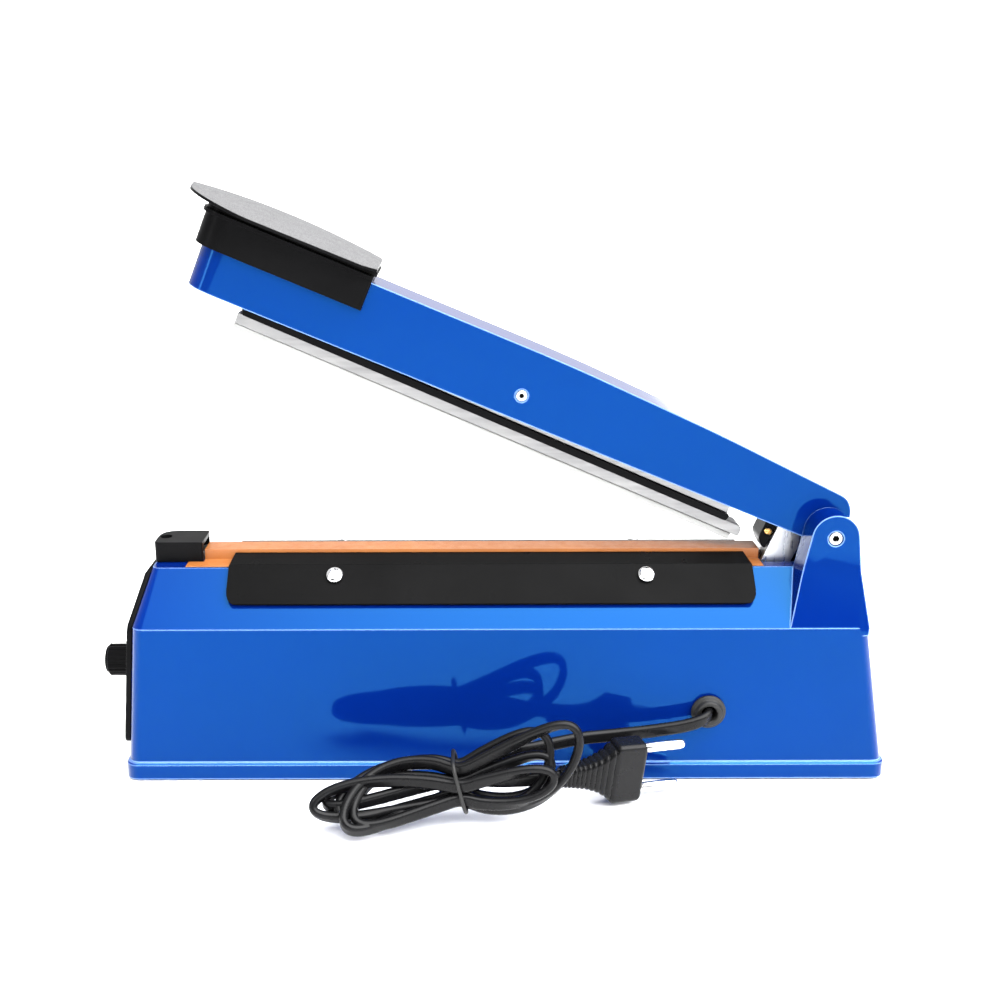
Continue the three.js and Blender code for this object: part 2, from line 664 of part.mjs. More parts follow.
// ---------------------------------------------------------------- arm
// Inside the arm's own frame X runs towards the hinge (the free end is at -tip), Z is square to the arm.
function armOutline(shrink = 0) {
  const t = ARM.top - shrink;
  return roundedOutline([
    [-ARM.tip + 0.6 + shrink, ARM.bottom, 1],
    [-9, ARM.bottom, 2],
    [4.4, -6.6, 3],
    [7.4, 0, 3],
    [6.4, 10.4, 2.5],
    [2.2, 15.4 - shrink, 4],
    [-58.7, 19.7 - shrink, 12],
    [-128, t, 20],
    [-ARM.tip + shrink, t, 1],
  ]);
}

// Seen from above: straight sides and a free end with generous rounded corners.
function armPlan(half, tip, radius) {
  return roundedOutline([
    [tip, -half, radius],
    [20, -half, 0],
    [20, half, 0],
    [tip, half, radius],
  ]);
}

function armShell() {
  const { halfWidth, wall, tip } = ARM;
  const outside = prism("xz", armOutline(), -halfWidth, halfWidth, 5).intersect(
    prism("xy", armPlan(halfWidth, -tip, 13), -20, 40, 8),
  );
  const insidePlan = armPlan(halfWidth - wall, -tip + wall, 11);
  const inside = prism("xz", armOutline(2.5), -halfWidth, halfWidth, 5)
    .intersect(prism("xy", insidePlan, -20, 40, 8))
    .intersect(block(-tip, -25.5, -20, 20, -5, 40));
  const mouth = prism("xy", armPlan(halfWidth - wall, -tip + wall, 11), -20, 0, 8)
    .intersect(block(-tip, -25.5, -20, 20, -20, 2));
  return cut(
    outside,
    inside,
    mouth,
    block(-18.2, -4.2, -8.9, 8.9, -20, 8.3),
    block(-24, -18.1, -7, 7, -20, -2.5),
    rod("y", 2.3, -20, 20, [0, 0], 20),
    rod("y", 2.2, -20, 20, [-PIVOT.along, PIVOT.up], 20),
    rod("y", 2.7, -20, -ARM.halfWidth + 0.5, [-PIVOT.along, PIVOT.up], 20),
    rod("y", 3.6, ARM.halfWidth - 0.5, 20, [-PIVOT.along, PIVOT.up], 20),
  );
}

const SADDLE = { near: -213.9, far: -285.6, low: 10.8, top: 25.2 };

function handleSaddle() {
  const outer = prism("xy", roundedOutline([
    [SADDLE.far, -17, 12],
    [SADDLE.near, -17, 1],
    [SADDLE.near, 17, 1],
    [SADDLE.far, 17, 12],
  ]), SADDLE.low, SADDLE.top, 8);
  const rim = prism("xy", roundedOutline([
    [SADDLE.far - 1, -18, 12],
    [SADDLE.near, -18, 1],
    [SADDLE.near, 18, 1],
    [SADDLE.far - 1, 18, 12],
  ]), 23.6, SADDLE.top, 8);
  const stem = prism("xy", roundedOutline([
    [SADDLE.far, -15, 10],
    [SADDLE.near + 1, -15, 3],
    [SADDLE.near + 1, 15, 3],
    [SADDLE.far, 15, 10],
  ]), SADDLE.top, 27, 6);
  const arm = prism("xy", armPlan(ARM.halfWidth + GAP, -ARM.tip - GAP, 13), 0, ARM.top + GAP, 8);
  return cut(join(outer, rim, stem), arm);
}

// The palm plate: seen from above a rounded shield, widest near the free end; crowned across its top.
function padSection(along) {
  const t = (along - 213.5) / (295 - 213.5);
  const plan = Math.sqrt(Math.max(0, 1 - Math.pow(Math.max(0, (t - 0.62) / 0.38), 2.4)));
  const heel = Math.sqrt(Math.max(0, 1 - Math.pow(Math.max(0, (0.07 - t) / 0.07), 2)));
  const half = Math.max(0.4, (24.5 + 4.5 * Math.min(1, t / 0.7)) * plan * Math.max(heel, 0.75));
  const crown = 29.3 + 4.2 * Math.sin(Math.PI * Math.min(1, 0.18 + 0.82 * t) * 0.86);
  return { half, crown };
}

function handlePad() {
  const steps = 22;
  const across = 8;
  const rings = [];
  for (let i = 0; i <= steps; i++) {
    const eased = 1 - Math.cos((Math.PI / 2) * (i / steps));
    const along = mix(213.5, 295, 1 - Math.pow(1 - i / steps, 1.7) * 0.999);
    const { half, crown } = padSection(mix(along, along, eased));
    const edge = 28.6 + 1.4 * Math.max(0, (along - 268) / 27);
    const ring = [];
    for (let j = 0; j <= across; j++) {
      const s = (2 * j) / across - 1;
      ring.push([-along, s * half, edge + (crown - edge) * (1 - s * s)]);
    }
    for (let j = across; j >= 0; j--) {
      const s = (2 * j) / across - 1;
      ring.push([-along, s * half, edge - 1.2 + (Math.max(crown - 3.4, edge - 1) - edge + 1) * (1 - s * s)]);
    }
    rings.push(ring);
  }
  return loft(rings);
}

function armBracket() {
  const cheek = roundedOutline([
    [-5.2, 7.8, 0.5],
    [-17, 7.8, 0.5],
    [-17, -36.5, 2],
    [-8, -38, 2],
    [-5.2, -34, 2],
  ]);
  const outer = prism("xz", cheek, -8.4, 8.4, 4);
  const inner = block(-15.6, 0, -7.2, 7.2, -60, 20);
  const hook = rod("y", 1.3, -7.3, 7.3, [-11.5, -34.5], 12);
  const switchTab = block(-6.6, -5.3, -7.3, 7.3, -34, -28.5);
  return join(cut(outer, inner), hook, switchTab);
}

function bracketBlock() {
  const outline = roundedOutline([
    [-17.4, -3, 0.5],
    [-22, -3, 0.5],
    [-22, -15.4, 1],
    [-18.8, -19, 1],
    [-17.4, -19, 0.3],
  ]);
  return cut(prism("xz", outline, -6.4, 6.4, 3), rod("y", 1.4, -8, -2, [-19.6, -11.5], 12));
}

function pivotPin() {
  const { along, up } = PIVOT;
  return join(
    rod("y", 1.8, -ARM.halfWidth + 0.7, ARM.halfWidth + 1.6, [-along, up], 20),
    rod("y", 2.3, -ARM.halfWidth - 0.4, -ARM.halfWidth + 0.2, [-along, up], 24),
    rod("y", 1.8, -ARM.halfWidth + 0.1, -ARM.halfWidth + 1, [-along, up], 20),
  );
}

function pivotNut() {
  const { along, up } = PIVOT;
  const hexagon = rod("y", 3.3, ARM.halfWidth - 0.2, ARM.halfWidth + 1.4, [-along, up], 6);
  return cut(hexagon, rod("y", 2.1, ARM.halfWidth - 2, ARM.halfWidth + 3, [-along, up], 20));
}

function arm() {
  const group = new THREE.Group();
  group.add(piece("arm_shell", armShell(), BLUE_ABS));
  group.add(piece("handle_saddle", handleSaddle(), BLACK_ABS));
  group.add(piece("handle_pad", handlePad(), GREY_PAD));
  group.add(piece("arm_bracket", armBracket(), STEEL));
  group.add(piece("bracket_block", bracketBlock(), BLACK_ABS));
  const blockScrew = join(
    rod("y", 1.1, -7.4, -2.6, [-19.6, -11.5], 12),
    rod("y", 1.7, -7.6, -6.7, [-19.6, -11.5], 14),
  );
  group.add(piece("block_screw", blockScrew, BRASS));
  group.add(piece("pivot_pin", pivotPin(), STEEL));
  group.add(piece("pivot_nut", pivotNut(), STEEL));
  group.add(sealBar());
  group.rotation.y = THREE.MathUtils.degToRad(ARM.openDegrees);
  group.position.set(HINGE.x, 0, HINGE.z);
  return group;
}

// ---------------------------------------------------------------- floating seal bar
// Its own frame has the pivot pin at the origin and X towards the hinge.
const BAR = { hingeEnd: 102, freeEnd: -117, stripBottom: -23.4 };

function sealCarrier() {
  const outline = [
    [BAR.hingeEnd - 1, -12],
    [BAR.hingeEnd - 1, -5],
    [18, 5.5],
    [-18, 5.5],
    [-112, -4.5],
    [-112, -12],
  ].reverse();
  const outer = prism("xz", outline, -9.5, 9.5);
  return cut(outer, block(-130, 120, -8, 8, -10.4, 20), rod("y", 2.1, -20, 20, [0, 0], 20));
}

function sealBar() {
  const group = new THREE.Group();
  const { hingeEnd, freeEnd, stripBottom } = BAR;
  group.add(piece("seal_carrier", sealCarrier(), ALUMINIUM));
  const trim = roundedOutline([
    [hingeEnd, -15.4, 2],
    [hingeEnd, -12.3, 0.8],
    [freeEnd - 1, -12.3, 0.8],
    [freeEnd + 0.5, -15.4, 0.5],
  ]);
  group.add(piece("carrier_trim", prism("xz", trim, -10.6, 10.6, 3), BLACK_ABS));
  const holder = roundedOutline([
    [hingeEnd + 9, -20.3, 1],
    [hingeEnd + 9, -15.7, 2.2],
    [freeEnd - 2, -15.7, 0.5],
    [freeEnd - 2, -20.3, 0.5],
  ]);
  group.add(piece("strip_holder", prism("xz", holder, -6.2, 6.2, 4), ALUMINIUM));
  const strip = roundedOutline([
    [hingeEnd + 6, stripBottom, 0.8],
    [hingeEnd + 6, -20.6, 0.3],
    [freeEnd - 2, -20.6, 0.3],
    [freeEnd - 3.5, stripBottom, 1.2],
  ]);
  group.add(piece("silicone_strip", prism("xz", strip, -5, 5, 4), SILICONE));
  group.rotation.y = THREE.MathUtils.degToRad(PIVOT.barTiltDegrees);
  group.position.set(-PIVOT.along, 0, PIVOT.up);
  return group;
}

// ---------------------------------------------------------------- mains cord
const LEAD_ROUTE = [
  [83.2, -45.1, 30.8],
  [79.2, -45.7, 29.4],
  [67.6, -46.2, 26.6],
  [56.4, -46.5, 25.3],
  [42.7, -47.5, 24.2],
  [30.1, -50, 24.4],
  [18.4, -54, 23.6],
  [10.3, -58.7, 23.1],
];

function grommet() {
  const ring = turned([
    [0, -3], [4.9, -3], [4.9, 0.3], [GROMMET.radius, 0.3], [GROMMET.radius, 1.6],
    [5.6, 2.4], [4.8, 3.9], [0, 3.9],
  ], [0, 0], 28);
  const bored = cut(ring, rod("z", 3.1, -5, 6, [0, 0], 16));
  return bored.rotate([90, 0, 0]).translate([GROMMET.x, -38.3, GROMMET.z]);
}

function cordHank() {
  const outline = roundedOutline([
    [-76.5, -90, 14],
    [-30, -86, 20],
    [17.6, -86, 5],
    [17.6, -68, 0],
    [10.9, -62, 0],
    [7.4, -56.2, 0],
    [-30, -64, 20],
    [-76.5, -63, 14],
  ]);
  const tieGroove = cut(
    block(-22.3, -17.5, -100, -40, -2, 40),
    block(-22.9, -16.9, -82, -66.8, 9.6, 28.2),
  );
  return cut(prism("xy", outline, 0, 31, 4), tieGroove);
}

function cordTie() {
  const outer = block(-21.7, -18.1, -84.2, -64.6, 7.5, 30.3);
  return cut(outer, block(-24, -16, -82.3, -66.5, 9.3, 28.5));
}

const PLUG = { face: [53.2, -57.2, 14.9], roll: 6.5, pitch: 4, yaw: 20, length: 36, pinLength: 19 };

// In the plug's own frame X points along the pins and the face is at X = 0.
function plug() {
  const group = new THREE.Group();
  const { length } = PLUG;
  const outline = roundedOutline([
    [0, -13.3, 2],
    [0, 13.3, 2],
    [-12.5, 13.5, 3],
    [-19.5, 9, 3],
    [-25, 6.2, 4],
    [-length, 4, 0.5],
    [-length, -4, 0.5],
    [-25, -6.2, 4],
    [-19.5, -9, 3],
    [-12.5, -13.5, 3],
  ]);
  const sidePlan = roundedOutline([
    [0, -4.8, 1.2],
    [0, 4.8, 1.2],
    [-14, 4.8, 2],
    [-length, 3, 0.5],
    [-length, -3, 0.5],
    [-14, -4.8, 2],
  ]);
  const body = prism("xz", outline, -8, 8, 3).intersect(prism("xy", sidePlan, -20, 20, 3));
  const sockets = [-9.4, 9.4].map((z) => rod("x", 2.3, -8, 2, [0, z], 16));
  group.add(piece("plug_body", cut(body, ...sockets), CORD_PVC));
  [-9.4, 9.4].forEach((z, i) => {
    const tip = rod("x", 1.4, PLUG.pinLength - 2, PLUG.pinLength, [0, z], 16);
    const shank = rod("x", 2, -7.6, PLUG.pinLength - 0.8, [0, z], 16);
    group.add(piece(`plug_pin_${i + 1}`, join(shank, tip), CHROME));
  });
  const [roll, pitch, yaw] = [PLUG.roll, PLUG.pitch, PLUG.yaw].map(THREE.MathUtils.degToRad);
  group.rotation.set(roll, pitch, yaw, "ZYX");
  group.position.set(...PLUG.face);
  return group;
}

function mainsCord() {
  const group = new THREE.Group();
  group.add(piece("cord_grommet", grommet(), RUBBER));
  group.add(piece("cord_lead", sweptTube(LEAD_ROUTE, CORD.width / 2, 10, 24), CORD_PVC));
  group.add(piece("cord_hank", cordHank(), CORD_PVC));
  group.add(piece("cord_tie", cordTie(), RUBBER));
  group.add(plug());
  return group;
}

// ---------------------------------------------------------------- the whole sealer
const sealer = new THREE.Group();
sealer.add(piece("base_housing", baseHousing(), BLUE_ABS));
sealer.add(piece("bottom_cover", bottomCover(), BLACK_STEEL));
sealer.add(baseFasteners());
sealer.add(piece("control_panel", controlPanel(), BLACK_ABS));
sealer.add(piece("timer_knob", timerKnob(), BLACK_ABS));
sealer.add(controlInternals());
sealer.add(heaterLine());
sealer.add(baseInternals());
sealer.add(piece("hinge_bolt", hingeBolt(), STEEL));
sealer.add(piece("hinge_nut", hingeNut(), STEEL));
sealer.add(arm());
sealer.add(mainsCord());
sealer.position.x = CENTRE_SHIFT;

const centred = new THREE.Group();
centred.add(sealer);
export default centred;
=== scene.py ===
"""Looks of a hand impulse heat sealer with its arm open and its mains cord bundled beside it."""

import json
import math

import bmesh
import bpy
from mathutils import Matrix, Vector

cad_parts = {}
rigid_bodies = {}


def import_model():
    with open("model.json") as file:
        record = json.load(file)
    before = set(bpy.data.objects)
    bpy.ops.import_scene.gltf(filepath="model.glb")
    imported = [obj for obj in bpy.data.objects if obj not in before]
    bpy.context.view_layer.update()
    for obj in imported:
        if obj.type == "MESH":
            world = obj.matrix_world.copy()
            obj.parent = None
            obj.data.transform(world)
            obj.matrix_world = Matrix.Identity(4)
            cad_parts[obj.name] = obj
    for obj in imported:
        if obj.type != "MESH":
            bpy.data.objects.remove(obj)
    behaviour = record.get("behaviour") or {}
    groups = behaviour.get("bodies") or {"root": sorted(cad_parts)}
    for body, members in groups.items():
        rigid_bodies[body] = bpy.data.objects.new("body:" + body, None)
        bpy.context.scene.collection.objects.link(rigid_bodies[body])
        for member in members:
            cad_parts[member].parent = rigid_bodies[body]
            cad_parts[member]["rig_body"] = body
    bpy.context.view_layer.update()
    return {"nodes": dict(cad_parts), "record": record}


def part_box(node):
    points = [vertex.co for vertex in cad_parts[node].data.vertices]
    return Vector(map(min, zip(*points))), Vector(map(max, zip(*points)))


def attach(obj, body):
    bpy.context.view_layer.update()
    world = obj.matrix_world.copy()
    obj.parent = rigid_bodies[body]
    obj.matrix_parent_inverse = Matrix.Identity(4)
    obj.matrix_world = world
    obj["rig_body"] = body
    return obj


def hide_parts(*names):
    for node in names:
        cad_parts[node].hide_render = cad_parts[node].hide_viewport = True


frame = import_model()
nodes = frame["nodes"]
MM = 0.001


# ---------------------------------------------------------------- camera
def add_camera():
    data = bpy.data.cameras.new("camera")
    data.sensor_width = 36
    data.lens = 45.0
    data.shift_x = 0.045
    data.clip_start = 0.01
    data.clip_end = 20
    camera = bpy.data.objects.new("camera", data)
    bpy.context.scene.collection.objects.link(camera)
    camera.location = (-0.0127, -0.5168, 0.2567)
    camera.rotation_euler = (math.radians(90 - 15.64), math.radians(0.15), 0)
    bpy.context.scene.camera = camera


add_camera()


# ---------------------------------------------------------------- mesh helpers
def add_mesh(name, vertices, faces, material=None, smooth=True):
    """A mesh object from points in metres."""
    mesh = bpy.data.meshes.new(name)
    mesh.from_pydata([tuple(v) for v in vertices], [], faces)
    mesh.validate()
    mesh.update()
    if smooth:
        mesh.polygons.foreach_set("use_smooth", [True] * len(mesh.polygons))
    if material is not None:
        mesh.materials.append(material)
    obj = bpy.data.objects.new(name, mesh)
    bpy.context.scene.collection.objects.link(obj)
    return obj


def catmull(points, per_span):
    """A smooth line through the points, with per_span steps between neighbours."""
    p = [2 * points[0] - points[1], *points, 2 * points[-1] - points[-2]]
    line = []
    for i in range(1, len(p) - 2):
        a, b, c, d = p[i - 1 : i + 3]
        for step in range(per_span):
            t = step / per_span
            point = 2 * b + (c - a) * t
            point += (2 * a - 5 * b + 4 * c - d) * t * t
            point += (3 * b - a - 3 * c + d) * t**3
            line.append(0.5 * point)
    line.append(p[-2])
    return line


# ---------------------------------------------------------------- materials
class Graph:
    """Adds nodes to a shader tree; an input is a value or another node's output."""

    def __init__(self, tree):
        self.tree = tree

    def add(self, kind, inputs=None, **settings):
        node = self.tree.nodes.new(kind)
        for key, value in settings.items():
            setattr(node, key, value)
        for key, value in (inputs or {}).items():
            if isinstance(value, bpy.types.NodeSocket):
                self.tree.links.new(value, node.inputs[key])
            else:
                node.inputs[key].default_value = value
        return node

    def combine(self, operation, first, second):
        return self.add("ShaderNodeMath", {0: first, 1: second}, operation=operation).outputs["Value"]

    def dot(self, first, second):
        node = self.add("ShaderNodeVectorMath", {0: first, 1: second}, operation="DOT_PRODUCT")
        return node.outputs["Value"]

    def spread(self, value, low, high, start=0.3, end=0.7, **settings):
        """Maps a value from start..end to low..high."""
        inputs = {"Value": value, "From Min": start, "From Max": end, "To Min": low, "To Max": high}
        return self.add("ShaderNodeMapRange", inputs, **settings).outputs["Result"]

    def mix(self, factor, first, second):
        node = self.add("ShaderNodeMix", data_type="RGBA")
        self.connect(factor, node.inputs[0])
        self.connect(first, node.inputs[6])
        self.connect(second, node.inputs[7])
        return node.outputs[2]

    def connect(self, value, socket):
        if isinstance(value, bpy.types.NodeSocket):
            self.tree.links.new(value, socket)
        elif isinstance(value, (int, float)):
            socket.default_value = value
        else:
            socket.default_value = (*value, 1)


class Paint(Graph):
    """Builds one procedural material; every texture is measured in the object's own metres."""

    def __init__(self, name):
        self.material = bpy.data.materials.new(name)
        self.material.use_nodes = True
        super().__init__(self.material.node_tree)
        self.shader = self.tree.nodes["Principled BSDF"]
        self.place = self.add("ShaderNodeTexCoord").outputs["Object"]

    def noise(self, scale, detail=3.0, roughness=0.55, place=None):
        inputs = {"Vector": place or self.place, "Scale": scale, "Detail": detail, "Roughness": roughness}
        return self.add("ShaderNodeTexNoise", inputs).outputs["Fac"]

    def wave(self, axis, pitch):
        """A sine along one axis of the object, with its pitch in millimetres."""
        along = self.add("ShaderNodeSeparateXYZ", {"Vector": self.place}).outputs[axis]
        turn = self.combine("MULTIPLY", along, 2 * math.pi / (pitch * MM))
        return self.add("ShaderNodeMath", {0: turn}, operation="SINE").outputs["Value"]

    def set(self, **values):
        for key, value in values.items():
            self.connect(value, self.shader.inputs[key.replace("_", " ")])
        return self

    def bump(self, height, distance, strength=1.0, edge=0.3):
        """Surface relief in millimetres over edges softened by a radius in millimetres."""
        soft = self.add("ShaderNodeBevel", {"Radius": edge * MM}, samples=4).outputs["Normal"]
        inputs = {"Height": height, "Distance": distance * MM, "Strength": strength, "Normal": soft}
        self.connect(self.add("ShaderNodeBump", inputs).outputs["Normal"], self.shader.inputs["Normal"])
        self.connect(soft, self.shader.inputs["Coat Normal"])
        return self.material


def moulded(
    name, color, second, roughness, grain=900, relief=0.02, coat=0.0, level=0.5, blotch=25, edge=0.35
):
    """Moulded plastic, rubber or lacquer: two near tones, an even roughness and a fine relief."""
    paint = Paint(name)
    paint.set(
        Base_Color=paint.mix(paint.spread(paint.noise(blotch), 0, 1), color, second),
        Roughness=paint.spread(paint.noise(blotch * 3), roughness * 0.88, roughness * 1.12),
        Coat_Weight=coat,
        Coat_Roughness=0.04,
        Specular_IOR_Level=level,
    )
    return paint.bump(paint.noise(grain, 2.0), relief, edge=edge)


def metal(name, color, second, roughness, brush=(1, 1, 1), grain=400, relief=0.006):
    """Bare or plated metal, with its roughness and relief drawn out along the brushed direction."""
    paint = Paint(name)
    drawn = paint.add("ShaderNodeMapping", {"Vector": paint.place, "Scale": brush}).outputs["Vector"]
    streak = paint.noise(grain, 4.0, 0.6, drawn)
    paint.set(
        Base_Color=paint.mix(paint.spread(paint.noise(60), 0, 1), color, second),
        Roughness=paint.spread(streak, roughness * 0.7, roughness * 1.3),
        Metallic=1.0,
    )
    return paint.bump(streak, relief, edge=0.2)


def tint_gloss(material, tint):
    """Colours the reflections of a strongly coloured glossy plastic."""
    material.node_tree.nodes["Principled BSDF"].inputs["Specular Tint"].default_value = (*tint, 1)


def painted_edge_highlight(material, radius, tint):
    """Painted highlight on moulded edges: the paint nears the tint where the surface turns within the
    radius.
    """
    graph = Graph(material.node_tree)
    rounded = graph.add("ShaderNodeBevel", {"Radius": radius}, samples=8).outputs["Normal"]
    surface = graph.add("ShaderNodeNewGeometry").outputs["Normal"]
    still_flat, fully_turned, most = 0.995, 0.94, 0.55
    # Painted highlight: how far the base colour moves towards the pale tint at an edge.
    highlight_share = graph.spread(graph.dot(rounded, surface), 0.0, most, still_flat, fully_turned)
    socket = material.node_tree.nodes["Principled BSDF"].inputs["Base Color"]
    graph.connect(graph.mix(highlight_share, socket.links[0].from_socket, tint), socket)


def speckled_pad(name):
    """Matt grey skin of the palm pad with fine dark and light specks."""
    paint = Paint(name)
    fleck = paint.spread(paint.noise(2600, 1.0, 0.5), 0, 1, 0.38, 0.62)
    tone = paint.mix(fleck, (0.062, 0.062, 0.064), (0.120, 0.120, 0.123))
    paint.set(Base_Color=tone, Roughness=paint.spread(paint.noise(300), 0.55, 0.75), Specular_IOR_Level=0.35)
    return paint.bump(paint.noise(1500, 3.0), 0.07, edge=0.6)


def woven_sheet(name):
    """Glass cloth coated with PTFE: a fine square weave under a smooth, slightly oily skin."""
    paint = Paint(name)
    weave = paint.combine("MULTIPLY", paint.wave("X", 0.7), paint.wave("Y", 0.55))
    cloud = paint.spread(paint.noise(18, 4.0, 0.6), 0, 1)
    amber = paint.mix(cloud, (0.27, 0.088, 0.019), (0.37, 0.135, 0.032))
    tone = paint.mix(paint.spread(weave, 0.0, 0.5, -1, 1), amber, (0.24, 0.075, 0.016))
    paint.set(
        Base_Color=tone,
        Roughness=paint.spread(paint.noise(220), 0.28, 0.46),
        Coat_Weight=0.12,
        Coat_Roughness=0.2,
    )
    return paint.bump(weave, 0.03, 0.6, edge=0.15)


def wound_copper(name):
    """Enamelled wire wound in level layers under a thin varnish. Its tone is darker in the grooves as
    painted shade and brighter on each turn's crown as painted highlight.
    """
    paint = Paint(name)
    wire = paint.wave("Z", 0.6)
    # Painted shade in the grooves between turns and painted highlight on their crowns.
    tone = paint.mix(paint.spread(wire, 0, 1, -1, 1), (0.16, 0.05, 0.02), (0.50, 0.19, 0.07))
    paint.set(Base_Color=tone, Roughness=0.3, Metallic=0.5, Coat_Weight=0.4)
    return paint.bump(wire, 0.12, edge=0.3)


PAINTS = {
    "blue_abs": moulded(
        "blue_abs", (0.0003, 0.0085, 0.098), (0.0004, 0.0098, 0.110), 0.06, 240, 0.008, blotch=12, edge=0.7
    ),
    "black_abs": moulded(
        "black_abs", (0.002, 0.002, 0.0022), (0.0035, 0.0035, 0.0038), 0.30, 1500, 0.02, level=0.03
    ),
    "black_steel": moulded(
        "black_steel", (0.0022, 0.0022, 0.0023), (0.0035, 0.0035, 0.0036), 0.30, 1900, 0.015, level=0.02
    ),
    "grey_pad": speckled_pad("grey_pad"),
    "plated_steel": metal(
        "plated_steel", (0.52, 0.53, 0.55), (0.60, 0.60, 0.60), 0.30, (1, 1, 0.1), 500, 0.002
    ),
    "chrome_pin": metal("chrome_pin", (0.72, 0.73, 0.75), (0.80, 0.80, 0.80), 0.12, (1, 6, 6), 200, 0.003),
    "brass": metal("brass", (0.72, 0.47, 0.16), (0.78, 0.55, 0.22), 0.25),
    "aluminium": metal(
        "aluminium", (0.21, 0.21, 0.214), (0.25, 0.25, 0.25), 0.45, (0.03, 1, 1), 900, 0.0015
    ),
    "nichrome": metal("nichrome", (0.30, 0.28, 0.27), (0.38, 0.35, 0.32), 0.35, (0.05, 1, 1), 700),
    "ptfe_cloth": woven_sheet("ptfe_cloth"),
    "silicone_white": moulded("silicone_white", (0.29, 0.29, 0.286), (0.33, 0.33, 0.326), 0.42, 700, 0.02),
    "black_rubber": moulded(
        "black_rubber", (0.005, 0.005, 0.005), (0.009, 0.009, 0.009), 0.5, 1200, 0.05, level=0.3
    ),
    "black_pvc": moulded(
        "black_pvc", (0.0025, 0.0025, 0.0028), (0.0045, 0.0045, 0.0050), 0.27, 700, 0.015, level=0.12
    ),
    "copper_winding": wound_copper("copper_winding"),
    "board_green": moulded("board_green", (0.010, 0.11, 0.035), (0.014, 0.15, 0.05), 0.3, 500, 0.03, 0.3),
    "lamp_red": moulded("lamp_red", (0.60, 0.015, 0.010), (0.70, 0.03, 0.015), 0.08, 200, 0.01, 1.0),
    "button_red": moulded("button_red", (0.42, 0.02, 0.014), (0.48, 0.03, 0.02), 0.4),
    "wire_sleeve": moulded("wire_sleeve", (0.55, 0.42, 0.07), (0.66, 0.52, 0.12), 0.7, 1800, 0.12),
    "ink_white": moulded("ink_white", (0.74, 0.74, 0.72), (0.80, 0.80, 0.79), 0.55, 900, 0.01),
}
tint_gloss(PAINTS["blue_abs"], (0.06, 0.48, 1.0))
# Painted highlight: the blue plastic turns pale blue along all its edges.
painted_edge_highlight(PAINTS["blue_abs"], 0.9 * MM, (0.30, 0.50, 0.95))
SLOTS = {part["node"]: part["material_slot"] for part in frame["record"]["subparts"]}


# ---------------------------------------------------------------- pieces made from CAD nodes
def finish_piece(obj, *replaced):
    """Gives a finished piece its body and its material slot, and hides the CAD nodes that it stands for."""
    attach(obj, nodes[replaced[0]]["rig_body"])
    slot = SLOTS[replaced[0]]
    if not obj.data.materials:
        obj.data.materials.append(PAINTS[slot])
    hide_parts(*replaced)
    return obj


def soften(obj, width, segments=3, angle=33, weight=None):
    """Rounds the crisp edges of a piece by a width in millimetres and evens out its shading."""
    mesh = obj.data
    bm = bmesh.new()
    bm.from_mesh(mesh)
    bmesh.ops.remove_doubles(bm, verts=bm.verts, dist=2e-6)
    bmesh.ops.dissolve_limit(bm, angle_limit=math.radians(0.5), verts=bm.verts, edges=bm.edges)
    layer = bm.edges.layers.float.new("bevel_weight_edge")
    for edge in bm.edges:
        if math.degrees(edge.calc_face_angle(0.0)) > angle:
            middle = (edge.verts[0].co + edge.verts[1].co) / 2 / MM
            edge[layer] = weight(middle) if weight else 1.0
    for face in bm.faces:
        face.smooth = True
    bm.to_mesh(mesh)
    bm.free()
    bevel = obj.modifiers.new("edges", "BEVEL")
    bevel.width = width * MM
    bevel.segments = segments
    bevel.limit_method = "WEIGHT"
    bevel.use_clamp_overlap = True
    bevel.miter_outer = "MITER_ARC"
    obj.modifiers.new("shading", "WEIGHTED_NORMAL").keep_sharp = True
    return obj


def skin(node, width=0.3, segments=3, angle=33, weight=None):
    """A finished copy of a CAD node with rounded edges, in the node's own place."""
    obj = bpy.data.objects.new(node + "_skin", nodes[node].data.copy())
    obj.data.materials.clear()
    bpy.context.scene.collection.objects.link(obj)
    soften(obj, width, segments, angle, weight)
    return finish_piece(obj, node)


def cut_out(obj, *cutters):
    """Cuts closed pieces out of another; the cutters are used up."""
    for cutter in cutters:
        boolean = obj.modifiers.new("cut", "BOOLEAN")
        boolean.object = cutter
        boolean.solver = "EXACT"
        evaluated = obj.evaluated_get(bpy.context.evaluated_depsgraph_get())
        mesh = bpy.data.meshes.new_from_object(evaluated)
        obj.modifiers.remove(boolean)
        obj.data = mesh
        bpy.data.objects.remove(cutter)
    return obj


def place_mesh(obj, matrix):
    obj.data.transform(matrix)
    return obj


def turned(name, profile, sides=48, ripple=None, closed=True):
    """A piece turned about Z from a profile of (radius, z) in millimetres, capped at both ends if closed."""
    vertices = []
    for radius, z in profile:
        for i in range(sides):
            angle = 2 * math.pi * i / sides
            r = ripple(radius, z, angle) if ripple else radius
            vertices.append(Vector((r * math.cos(angle), r * math.sin(angle), z)) * MM)
    faces = []
    for k in range(len(profile) - 1):
        for i in range(sides):
            a = k * sides + i
            b = k * sides + (i + 1) % sides
            faces.append((a, b, b + sides, a + sides))
    if closed:
        faces.append(tuple(reversed(range(sides))))
        faces.append(tuple((len(profile) - 1) * sides + i for i in range(sides)))
    return add_mesh(name, vertices, faces)


def facing(direction, place):
    """A matrix that points a piece's Z along a direction and moves its origin to a place in millimetres."""
    turn = Vector(direction).to_track_quat("Z", "Y").to_matrix().to_4x4()
    return Matrix.Translation(Vector(place) * MM) @ turn


# ---------------------------------------------------------------- base
# Where the walls meet the shoulders, where the plateau lies, and where the screw bosses stand,
# in millimetres.
BREAK_Z = 67.3
PLATEAU_Z = 87.0
PLATEAU_HALF_WIDTH = 16.5
BOSS_X = 120
BOSS_HEIGHTS = (12, 28)


def near_boss(x, z):
    return abs(x) > BOSS_X and BOSS_HEIGHTS[0] < z < BOSS_HEIGHTS[1]


